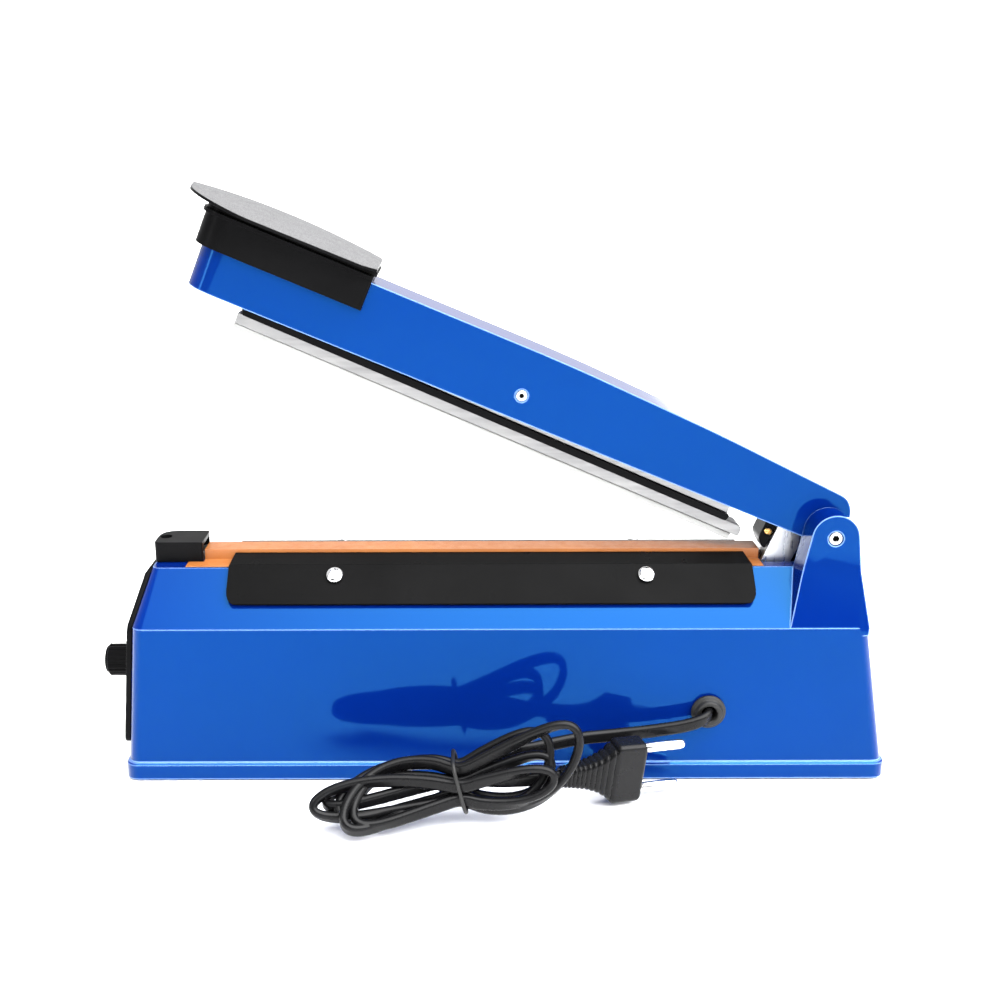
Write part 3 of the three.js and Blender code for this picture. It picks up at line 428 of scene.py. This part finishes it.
def housing_edges(middle):
    """The breaks between wall, shoulder and plateau are the softest edges, and the bosses have none."""
    if abs(middle.z - BREAK_Z) < 0.2:
        return 0.6
    if near_boss(middle.x, middle.z):
        return 0.0
    if PLATEAU_Z - 0.2 < middle.z < PLATEAU_Z + 0.3 and abs(middle.y) < PLATEAU_HALF_WIDTH:
        return 0.6
    return 0.45


def level_bosses(mesh):
    """Levels the four screw bosses with the tapered side walls, which they stand up to 0.21 mm proud of."""
    for side in (-1, 1):
        outside = [f for f in mesh.polygons if f.normal.y * side > 0.9 and f.center.y * side > 0]
        wall = max(outside, key=lambda f: f.area)
        normal, point = wall.normal.copy(), mesh.vertices[wall.vertices[0]].co.copy()
        for vertex in mesh.vertices:
            x, y, z = vertex.co / MM
            proud = normal.dot(vertex.co - point)
            if near_boss(x, z) and y * side > 0 and proud > -0.01 * MM:
                vertex.co -= normal * proud


housing = skin("base_housing", 1.4, 4, 24, housing_edges)
level_bosses(housing.data)
skin("bottom_cover", 0.4)
skin("control_panel", 0.5)
skin("heater_end_cover", 0.7, 4)
for end in ("front", "rear"):
    skin(f"clamp_plate_{end}", 0.28, 3, 30)
for corner in ("front_left", "rear_left", "front_right", "rear_right"):
    skin(f"foot_{corner}", 0.2)
    skin(f"cover_screw_{corner}", 0.15)
skin("ptfe_sheet", 0.08, 2, 40)
skin("heater_bar", 0.3)
skin("heating_element", 0.05, 2)
for internal in (
    "potentiometer",
    "timer_board",
    "board_relay",
    "board_capacitor",
    "transformer_core",
    "transformer_coil",
    "transformer_strap",
    "micro_switch",
    "micro_switch_button",
    "wire_heater_left",
    "wire_heater_right",
    "terminal_left",
    "terminal_right",
    "indicator_lamp",
):
    skin(internal, 0.25, 2, 36)
skin("hinge_nut", 0.3)

# ---------------------------------------------------------------- arm and seal bar
skin("arm_shell", 0.9, 4, 30)
skin("handle_saddle", 0.6, 3, 34)
pad = skin("handle_pad", 0.8, 3, 40)
pad.data.materials.append(PAINTS["black_abs"])
PALM_UP = Vector((0.384, 0, 0.923))
PALM_SHARE = 0.45
for face in pad.data.polygons:
    face.material_index = 0 if face.normal.dot(PALM_UP) > PALM_SHARE else 1
skin("arm_bracket", 0.25)
skin("bracket_block", 0.3)
skin("seal_carrier", 0.25)
skin("carrier_trim", 0.35)
skin("strip_holder", 0.3)
skin("silicone_strip", 0.8)


# ---------------------------------------------------------------- screws and bolts
def cross_recess(size, depth, top):
    """Two cutters for a cross recess: tapered bars across each other, with their floor below the top."""
    floor, mouth = (top - depth, size * 0.35, size * 0.07), (top + 1, size * 0.62, size * 0.16)
    sides = [(3, 2, 1, 0), (4, 5, 6, 7), (0, 1, 5, 4), (1, 2, 6, 5), (2, 3, 7, 6), (3, 0, 4, 7)]
    bars = []
    for turn in (0, math.pi / 2):
        corners = []
        for z, half_long, half_wide in (floor, mouth):
            for a, b in ((-1, -1), (1, -1), (1, 1), (-1, 1)):
                x, y = a * half_long, b * half_wide
                across = x * math.cos(turn) - y * math.sin(turn)
                along = x * math.sin(turn) + y * math.cos(turn)
                corners.append(Vector((across, along, z)) * MM)
        bars.append(add_mesh(f"recess_{len(bars)}", corners, sides))
    return bars


def pan_screw(name, node, seat, direction, radius, height, shank, turn=0.0):
    """A pan-head screw with a cross recess. The seat is the middle of the head's underside."""
    steps = 8
    dome = []
    for i in range(steps + 1):
        angle = math.pi / 2 * i / steps
        dome.append((radius * math.cos(angle) ** 0.62, height * (0.35 + 0.65 * math.sin(angle))))
    dome[-1] = (0.01, height)
    profile = [(0.01, -shank), (1.5, -shank), (1.5, 0.0), (radius * 0.96, 0.0), (radius, 0.15 * height)]
    profile += dome
    screw = turned(name, profile, 48)
    cutters = cross_recess(radius * 1.5, height * 0.62, height)
    for bar in cutters:
        place_mesh(bar, Matrix.Rotation(turn, 4, "Z"))
    cut_out(screw, *cutters)
    screw.data.materials.clear()
    place_mesh(screw, facing(direction, seat))
    soften(screw, 0.08, 2, 40)
    return finish_piece(screw, node)


SHOULDER_OUT = Vector((0, 0.6772, 0.7357))
SHOULDER_DOWN = Vector((0, 0.7357, -0.6772))
SHOULDER_TOP_Y = 16
SEAT_DOWN = 5.2
SEAT_OUT = 2.35
for sign, end in ((-1, "front"), (1, "rear")):
    for index, x in ((1, -63.5), (2, 66.9)):
        seat = Vector((x, SHOULDER_TOP_Y, PLATEAU_Z)) + SHOULDER_DOWN * SEAT_DOWN + SHOULDER_OUT * SEAT_OUT
        outward = Vector((0, sign * SHOULDER_OUT.y, SHOULDER_OUT.z))
        node = f"clamp_screw_{end}_{index}"
        pan_screw(node + "_head", node, (x, sign * seat.y, seat.z), outward, 3.6, 2.1, 5.0, 0.4 * index)
end_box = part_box("end_cover_screw")
end_seat = (-138.0, 0, end_box[1].z / MM - 1.3)
pan_screw("end_cover_screw_head", "end_cover_screw", end_seat, (0, 0, 1), 2.0, 1.3, 8, 0.3)
block_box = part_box("block_screw")
middle = (block_box[0] + block_box[1]) / 2 / MM
block_seat = (middle.x, block_box[0].y / MM + 1.2, middle.z)
pan_screw("block_screw_head", "block_screw", block_seat, (0, -1, 0), 1.7, 1.2, 3.4)


def socket_bolt(name, node, radius, head_radius, head, key):
    """A round bolt along Y in a CAD node's place, with a six-sided socket in its head at -Y whose faces are
    painted dark steel as painted shade.
    """
    low, high = (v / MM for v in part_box(node))
    length = high.y - low.y

    def six_sided(r, z, angle):
        if r > key + 0.01 or r < key * 0.5:
            return r
        return r * math.cos(math.pi / 6) / math.cos(angle % (math.pi / 3) - math.pi / 6)

    depth = head * 0.75
    profile = [(0.01, depth), (key * 0.6, depth), (key, depth * 0.9), (key, 0.12), (key + 0.25, 0.0)]
    profile += [(head_radius * 0.78, 0), (head_radius * 0.95, 0.2), (head_radius, 0.6), (head_radius, head)]
    profile += [(radius, head + 0.02), (radius, length - 0.5), (radius - 0.5, length), (0.01, length)]
    bolt = turned(name, profile, 72, six_sided)
    widest = max(math.hypot(v.co.x, v.co.y) for v in bolt.data.vertices)
    bolt.data.materials.clear()
    bolt.data.materials.append(PAINTS[SLOTS[node]])
    # Painted shade: the faces inside the socket take the dark steel, where shade falls in the hollow.
    bolt.data.materials.append(PAINTS["black_steel"])
    for face in bolt.data.polygons:
        in_head = face.center.z < widest
        in_socket = math.hypot(face.center.x, face.center.y) < widest * (key + 0.02) / head_radius
        face.material_index = 1 if in_head and in_socket else 0
    place_mesh(bolt, facing((0, 1, 0), ((low.x + high.x) / 2, low.y, (low.z + high.z) / 2)))
    soften(bolt, 0.08, 2, 30)
    return finish_piece(bolt, node)


socket_bolt("hinge_bolt_socket", "hinge_bolt", 2.0, 2.78, 2.2, 1.45)
socket_bolt("pivot_pin_socket", "pivot_pin", 1.4, 2.28, 1.2, 1.05)
skin("pivot_nut", 0.2)


# ---------------------------------------------------------------- timer knob
def timer_knob():
    """A fluted grip with a rounded front and an index line on its rim."""
    tip, axis_z, radius = -168.4, 39.2, 7.45

    def flutes(r, z, angle):
        if r < radius - 0.6 or z < 2.6 or z > 12.6:
            return r
        return r - 0.55 * (0.5 + 0.5 * math.cos(20 * angle)) ** 2

    profile = [(0.01, 0.0), (1.2, 0.0), (1.5, 0.25), (1.6, 0.62), (5.4, 0.7), (5.9, 0.95), (6.15, 1.5)]
    profile += [(6.2, 2.0), (6.9, 2.15), (7.25, 2.35)]
    profile += [(radius, z) for z in (2.7, 5, 8, 11, 12.5)]
    profile += [(7.5, 12.9), (7.8, 13.2), (7.8, 15.5), (7.6, 15.9), (0.01, 15.9)]
    knob = turned("timer_knob_grip", profile, 160, flutes)
    place_mesh(knob, facing((1, 0, 0), (tip, 0, axis_z)))
    soften(knob, 0.12, 2, 50)
    finish_piece(knob, "timer_knob")
    rim = axis_z + radius
    ends, sides, heights = (tip + 2.9, tip + 12.6), (-0.45, 0.45), (rim - 0.35, rim + 0.1)
    corners = [Vector((x, y, z)) * MM for x in ends for y in sides for z in heights]
    faces = [(0, 1, 3, 2), (4, 6, 7, 5), (0, 4, 5, 1), (2, 3, 7, 6), (0, 2, 6, 4), (1, 5, 7, 3)]
    line = add_mesh("timer_knob_index", corners, faces, PAINTS["ink_white"])
    soften(line, 0.08, 2)
    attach(line, "knob")


timer_knob()


# ---------------------------------------------------------------- return spring
def coil(name, start, end, radius, wire, turns, node):
    """A helical spring along X between two places in millimetres."""
    steps, sides = 26, 12
    count = int(turns * steps)
    line = []
    for i in range(count + 1):
        angle = 2 * math.pi * i / steps
        x = start[0] + (end[0] - start[0]) * i / count
        y, z = start[1] + radius * math.cos(angle), start[2] + radius * math.sin(angle)
        line.append(Vector((x, y, z)) * MM)
    vertices, faces = [], []
    for i, point in enumerate(line):
        tangent = (line[min(i + 1, count)] - line[max(i - 1, 0)]).normalized()
        out = Vector((0, point.y - start[1] * MM, point.z - start[2] * MM)).normalized()
        side = tangent.cross(out)
        for k in range(sides):
            turn = 2 * math.pi * k / sides
            vertices.append(point + (out * math.cos(turn) + side * math.sin(turn)) * wire * MM)
    for i in range(count):
        for k in range(sides):
            a = i * sides + k
            b = i * sides + (k + 1) % sides
            faces.append((a, b, b + sides, a + sides))
    faces.append(tuple(reversed(range(sides))))
    faces.append(tuple(count * sides + k for k in range(sides)))
    spring = add_mesh(name, vertices, faces)
    return finish_piece(spring, node)


spring_box = [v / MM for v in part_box("return_spring")]
coil(
    "return_spring_coil",
    (spring_box[0].x + 0.8, 0, (spring_box[0].z + spring_box[1].z) / 2),
    (spring_box[1].x - 0.8, 0, 0),
    4.0,
    0.62,
    14,
    "return_spring",
)


# ---------------------------------------------------------------- grommet, plug and pins
def cord_grommet():
    """A stepped rubber bush standing out of the wall, its bore flared where the cord leaves."""
    profile = [(4.9, -3.0), (4.9, 0.3), (7.0, 0.3), (7.2, 0.55), (7.2, 1.35), (6.95, 1.65), (5.9, 2.1)]
    profile += [(5.6, 2.35), (5.35, 3.4), (5.05, 3.8), (4.7, 3.9), (3.9, 3.85), (3.35, 3.4), (3.1, 2.6)]
    profile += [(3.1, -3.0)]
    sides = 56
    ring = turned("cord_grommet_ring", profile, sides, closed=False)
    bm = bmesh.new()
    bm.from_mesh(ring.data)
    last = (len(profile) - 1) * sides
    bm.verts.ensure_lookup_table()
    for i in range(sides):
        j = (i + 1) % sides
        bm.faces.new([bm.verts[k] for k in (last + i, last + j, j, i)])
    bmesh.ops.recalc_face_normals(bm, faces=bm.faces)
    bm.to_mesh(ring.data)
    bm.free()
    place_mesh(ring, facing((0, -1, 0), (92.2, -38.3, 31.2)))
    soften(ring, 0.15, 2, 40)
    return finish_piece(ring, "cord_grommet")


cord_grommet()
PLUG_FACE = Vector((61.6, -57.2, 14.9))
PLUG_TURN = (
    Matrix.Rotation(math.radians(20), 4, "Z")
    @ Matrix.Rotation(math.radians(4), 4, "Y")
    @ Matrix.Rotation(math.radians(6.5), 4, "X")
)
PLUG_PLACE = Matrix.Translation(PLUG_FACE * MM) @ PLUG_TURN
PIN_HEIGHT = 9.4


def pin_place(z):
    """The matrix that lays a pin, turned about Z, along the plug at a height on its face in millimetres."""
    return PLUG_PLACE @ Matrix.Translation(Vector((0, 0, z)) * MM) @ Matrix.Rotation(math.pi / 2, 4, "Y")


def between(table, at):
    """Straight-line reading of a table of (place, value) rows."""
    for (a, first), (b, second) in zip(table, table[1:]):
        if at <= b:
            return first + (second - first) * max(0.0, (at - a) / (b - a))
    return table[-1][1]


def rounded_box_ring(half_high, half_thick, radius, steps=5):
    """One section of the plug, in its Y and Z, with rounded corners."""
    ring = []
    radius = min(radius, half_high * 0.95, half_thick * 0.95)
    for quarter, (sy, sz) in enumerate(((1, 1), (-1, 1), (-1, -1), (1, -1))):
        for i in range(steps + 1):
            angle = math.pi / 2 * (quarter + i / steps)
            y = sy * (half_thick - radius) + radius * math.cos(angle)
            z = sz * (half_high - radius) + radius * math.sin(angle)
            ring.append((y, z))
    return ring


def plug_body():
    """A moulded plug: a smooth head with clipped edges, then a ribbed grip that narrows to the cord."""
    high = [(0, 13.3), (12.8, 13.5), (13.6, 12.2), (16, 9.9), (19.5, 7.6), (25, 5.6), (30, 4.8), (36, 4.1)]
    thick = [(0, 4.8), (13, 4.8), (14, 4.7), (20, 4.3), (28, 3.7), (36, 2.9)]
    stations = [(0.0, 0.84, 0.80), (0.25, 0.93, 0.90), (0.8, 0.985, 0.975), (1.6, 1, 1), (6, 1, 1)]
    stations += [(11.4, 1, 1), (12.4, 0.99, 0.98), (12.9, 0.95, 0.94), (13.2, 0.88, 0.86)]
    at, pitch = 13.5, 2.7
    while at < 35:
        stations += [(at, 0.93, 0.84), (at + pitch * 0.22, 0.98, 0.96), (at + pitch * 0.36, 1, 1)]
        stations += [(at + pitch * 0.62, 1, 1), (at + pitch * 0.76, 0.98, 0.96)]
        stations += [(at + pitch * 0.95, 0.93, 0.84)]
        at += pitch
        pitch *= 0.94
    stations.append((36.0, 0.92, 0.92))
    stations = sorted(row for row in stations if row[0] <= 36)
    vertices, faces = [], []
    for depth, tall, wide in stations:
        section = rounded_box_ring(between(high, depth) * tall, between(thick, depth) * wide, 2.2)
        vertices += [Vector((-depth, y, z)) * MM for y, z in section]
    count = len(section)
    for k in range(len(stations) - 1):
        for i in range(count):
            a = k * count + i
            b = k * count + (i + 1) % count
            faces.append((a, a + count, b + count, b))
    faces.append(tuple(range(count)))
    faces.append(tuple(reversed([(len(stations) - 1) * count + i for i in range(count)])))
    body = add_mesh("plug_shell", vertices, faces)
    place_mesh(body, PLUG_PLACE)
    for z in (-PIN_HEIGHT, PIN_HEIGHT):
        hole = turned("socket", [(0.01, -8), (2.15, -8), (2.15, 3), (0.01, 3)], 32)
        place_mesh(hole, pin_place(z))
        cut_out(body, hole)
    body.data.materials.clear()
    soften(body, 0.18, 2, 50)
    return finish_piece(body, "plug_body")


plug_body()
pin_profile = [(0.01, -7.6), (2.0, -7.6), (2.0, 16.6), (1.93, 17.5), (1.7, 18.3), (1.3, 18.8)]
pin_profile += [(0.7, 18.98), (0.01, 19.0)]
for index, z in ((1, -PIN_HEIGHT), (2, PIN_HEIGHT)):
    pin = turned(f"plug_pin_{index}_round", pin_profile, 40)
    place_mesh(pin, pin_place(z))
    finish_piece(pin, f"plug_pin_{index}")


# ---------------------------------------------------------------- mains cord
CORD_WIDTH = 5.6 * MM
CORD_THICK = 3.4 * MM

# The lead: [x, y, z, lean] in millimetres and degrees.
# Lean 0 stands the flat cord on edge, and 90 lays it flat.
LEAD = [
    (92.2, -37.0, 31.4, 24),
    (92.1, -40.4, 31.2, 20),
    (90.8, -43.2, 30.6, 14),
    (87.4, -45.0, 29.5, 8),
    (82.4, -45.8, 28.2, 4),
    (76.0, -46.2, 27.1, 0),
    (64.8, -46.5, 25.6, 0),
    (51.1, -47.5, 24.6, 0),
    (38.5, -50.2, 24.6, 0),
    (26.8, -54.6, 24.4, 0),
    (14.0, -60.6, 24.6, 0),
    (2.0, -65.8, 25.0, 0),
    (-5.0, -68.0, 25.2, 0),
]

# Where each strand passes through the tie: (y, z) of its middle.
TIE_X = -11.5
CELLS = [
    (-69.2, 22.0),
    (-75.6, 13.0),
    (-72.7, 24.4),
    (-80.2, 13.4),
    (-80.6, 19.4),
    (-78.6, 12.4),
    (-76.2, 24.4),
    (-72.2, 12.8),
    (-76.2, 18.8),
    (-72.7, 18.6),
]

# Each fold: side, reach along X, half width, tilt in degrees, and how far its far end shifts in Z and Y.
FOLDS = [
    (-1, 47.0, 5.0, 35, -6.0, -10.0),
    (1, 35.5, 8.5, 72, 10.5, 3.0),
    (-1, 41.0, 5.5, 40, -8.0, -9.0),
    (1, 36.5, 4.0, 80, 6.0, 1.0),
    (-1, 56.5, 4.5, 50, -3.0, -5.0),
    (1, 46.5, 9.0, 80, 17.0, 3.0),
    (-1, 44.5, 8.5, 30, -7.5, -15.0),
    (1, 36.0, 6.0, 70, 8.0, 2.0),
    (-1, 52.0, 5.5, 25, -6.0, -6.0),
]
FOLD_STEPS = 14

# The run into the plug, which ends inside its neck.
NECK = PLUG_PLACE @ (Vector((-36, 0, 0)) * MM) / MM
ALONG = (PLUG_TURN @ Vector((1, 0, 0))).normalized()
PLUG_RUN = [
    (-3.0, -73.4, 18.4, 0),
    (5.0, -74.4, 18.5, 0),
    (*(NECK - ALONG * 14 + Vector((0, 0, 0.4))), 4),
    (*(NECK - ALONG * 7), 8),
    (*NECK, 10),
    (*(NECK + ALONG * 5), 10),
]


def fold_points(start, end, side, reach, half_width, tilt, lift, sway):
    """Points [x, y, z, lean] of one fold of the hank, out from the tie and back to it."""
    lean = math.radians(tilt)
    points = []
    for i in range(1, FOLD_STEPS):
        turn = math.pi * i / FOLD_STEPS
        out = math.sin(turn)
        back = (1 - math.cos(turn)) / 2
        across = -side * half_width * math.sin(2 * turn)
        x = TIE_X + side * reach * out
        y = start[0] + (end[0] - start[0]) * back + across * math.cos(lean) + sway * out * out
        z = start[1] + (end[1] - start[1]) * back + across * math.sin(lean) + lift * out * out
        points.append((x, y, max(z, 3.0), tilt * out * out))
    return points


def cord_route():
    """The whole centreline as [x, y, z, lean]: the lead, the folds of the hank and the run into the plug."""
    route = list(LEAD) + [(TIE_X, *CELLS[0], 0)]
    for i, fold in enumerate(FOLDS):
        route += fold_points(CELLS[i], CELLS[i + 1], *fold)
        route.append((TIE_X, *CELLS[i + 1], 0))
    route += PLUG_RUN
    return route


def flat_section(width, thick, steps=7):
    """Outline of a flat twin cord: two round cores side by side with a shallow valley between them."""
    outline = []
    r = thick / 2
    offset = width / 2 - r
    for i in range(steps + 1):
        angle = -math.pi / 2 + math.pi * i / steps
        outline.append((offset + r * math.cos(angle), r * math.sin(angle)))
    outline.append((0, r * 0.86))
    for i in range(steps + 1):
        angle = math.pi / 2 + math.pi * i / steps
        outline.append((-offset + r * math.cos(angle), r * math.sin(angle)))
    outline.append((0, -r * 0.86))
    return outline


def sweep_flat(name, route, outline, per_span, material):
    """A flat section carried along a route of [x, y, z, lean], its wide side leaning from upright."""
    line = [Vector(p) for p in catmull([Vector((*p[:3], p[3])) for p in route], per_span)]
    centre = [Vector((p[0], p[1], p[2])) * MM for p in line]
    rings = []
    last = None
    for i, c in enumerate(centre):
        ahead = centre[min(i + 1, len(centre) - 1)]
        behind = centre[max(i - 1, 0)]
        tangent = (ahead - behind).normalized()
        lean = math.radians(line[i][3])
        wide = Vector((0, -math.sin(lean), math.cos(lean)))
        wide = (wide - tangent * wide.dot(tangent)).normalized()
        if last is not None and wide.dot(last) < 0:
            wide = -wide
        last = wide
        thin = tangent.cross(wide)
        rings.append([c + wide * a + thin * b for a, b in outline])
    count = len(outline)
    vertices = [v for ring in rings for v in ring]
    faces = []
    for k in range(len(rings) - 1):
        for j in range(count):
            a = k * count + j
            b = k * count + (j + 1) % count
            faces.append((a, b, b + count, a + count))
    faces.append(tuple(reversed(range(count))))
    faces.append(tuple((len(rings) - 1) * count + j for j in range(count)))
    return add_mesh(name, vertices, faces, material), centre


route = cord_route()
section = flat_section(CORD_WIDTH, CORD_THICK)
cord, cord_line = sweep_flat("mains_cord", route, section, 4, PAINTS["black_pvc"])
finish_piece(cord, "cord_lead", "cord_hank")


def cord_tie():
    """A thin wire tie drawn round the hank a little askew."""
    half_y, half_z, radius, steps, sides, wire = 8.9, 10.4, 4.5, 8, 10, 0.8
    centre = Vector((TIE_X, -75.0, 18.6))
    ring = []
    for quarter, (sy, sz) in enumerate(((1, 1), (-1, 1), (-1, -1), (1, -1))):
        for i in range(steps + 1):
            angle = math.pi / 2 * (quarter + i / steps)
            out = Vector((0, math.cos(angle), math.sin(angle)))
            corner = Vector((0, sy * (half_y - radius), sz * (half_z - radius)))
            point = corner + out * radius
            point.x = -0.25 * point.z
            ring.append((point, out))
    vertices, faces = [], []
    for point, out in ring:
        for k in range(sides):
            turn = 2 * math.pi * k / sides
            offset = out * math.cos(turn) + Vector((1, 0, 0)) * math.sin(turn)
            vertices.append((centre + point + offset * wire) * MM)
    for k in range(len(ring)):
        for j in range(sides):
            n = ((k + 1) % len(ring)) * sides
            faces.append((k * sides + j, n + j, n + (j + 1) % sides, k * sides + (j + 1) % sides))
    return finish_piece(add_mesh("cord_tie_band", vertices, faces), "cord_tie")


cord_tie()


# ---------------------------------------------------------------- light and floor
# Name, direction of the light, width of the source in degrees, and power.
SUNS = (
    ("overhead", (0.25, 0.45, -1.0), 50, 0.05),
    ("side", (-0.8, 0.9, -0.9), 25, 0.2),
)
# Name, place, target, width and height in metres, and power.
STRIPS = (
    ("front_strip", (0.0, -1.0, 1.05), (0, 0, 0.08), (2.4, 0.15), 15),
    ("left_strip", (-0.85, -0.55, 0.5), (-0.12, 0, 0.15), (0.12, 0.9), 3),
    ("right_strip", (0.9, -0.5, 0.4), (0.15, 0, 0.06), (0.10, 0.8), 3),
)
SKY_STRENGTH = 0.74
SKY_PALE = 1.45
SKY_DARK = 0.12
GLOW = 17.0
GLOW_AIM = Vector((0.42, -0.28, 0.86)).normalized()
FLOOR_HALF = 30


def add_sky():
    """A soft sky: pale at the horizon, brightest overhead to the right, darker above on the front side."""
    world = bpy.data.worlds.new("studio")
    bpy.context.scene.world = world
    world.use_nodes = True
    sky = Graph(world.node_tree)
    direction = sky.add("ShaderNodeTexCoord").outputs["Generated"]
    axes = sky.add("ShaderNodeSeparateXYZ", {"Vector": direction}).outputs
    ahead = sky.spread(axes["Y"], SKY_DARK, SKY_PALE, -0.6, 0.2)
    horizon = sky.spread(axes["Z"], SKY_PALE, 0.0, 0.16, 0.40)
    glow = sky.spread(sky.dot(direction, GLOW_AIM), 0.0, GLOW, 0.66, 1.0, interpolation_type="SMOOTHSTEP")
    total = sky.combine("ADD", sky.combine("MAXIMUM", ahead, horizon), glow)
    background = world.node_tree.nodes["Background"]
    sky.connect(total, background.inputs["Color"])
    background.inputs["Strength"].default_value = SKY_STRENGTH


def add_floor():
    """A wide plain floor of pale paper."""
    pale, paler = (0.90, 0.90, 0.90), (0.92, 0.92, 0.92)
    paper = moulded("floor_paper", pale, paler, 0.85, 120, 0.05, level=0.1, blotch=3, edge=0.1)
    corners = [(x * FLOOR_HALF, y * FLOOR_HALF, 0) for x, y in ((-1, -1), (1, -1), (1, 1), (-1, 1))]
    floor = add_mesh("floor", corners, [(0, 1, 2, 3)], paper)


def add_light(name, kind, power, aim):
    """A lamp that points along a direction."""
    data = bpy.data.lights.new(name, kind)
    data.energy = power
    light = bpy.data.objects.new(name, data)
    light.rotation_euler = Vector(aim).to_track_quat("-Z", "Y").to_euler()
    bpy.context.scene.collection.objects.link(light)
    return light


add_sky()
add_floor()
bpy.context.scene.view_settings.view_transform = "Standard"
for name, aim, spread, power in SUNS:
    add_light(name, "SUN", power, aim).data.angle = math.radians(spread)
for name, place, target, (width, height), power in STRIPS:
    light = add_light(name, "AREA", power, Vector(target) - Vector(place))
    light.location = place
    light.data.shape = "RECTANGLE"
    light.data.size = width
    light.data.size_y = height
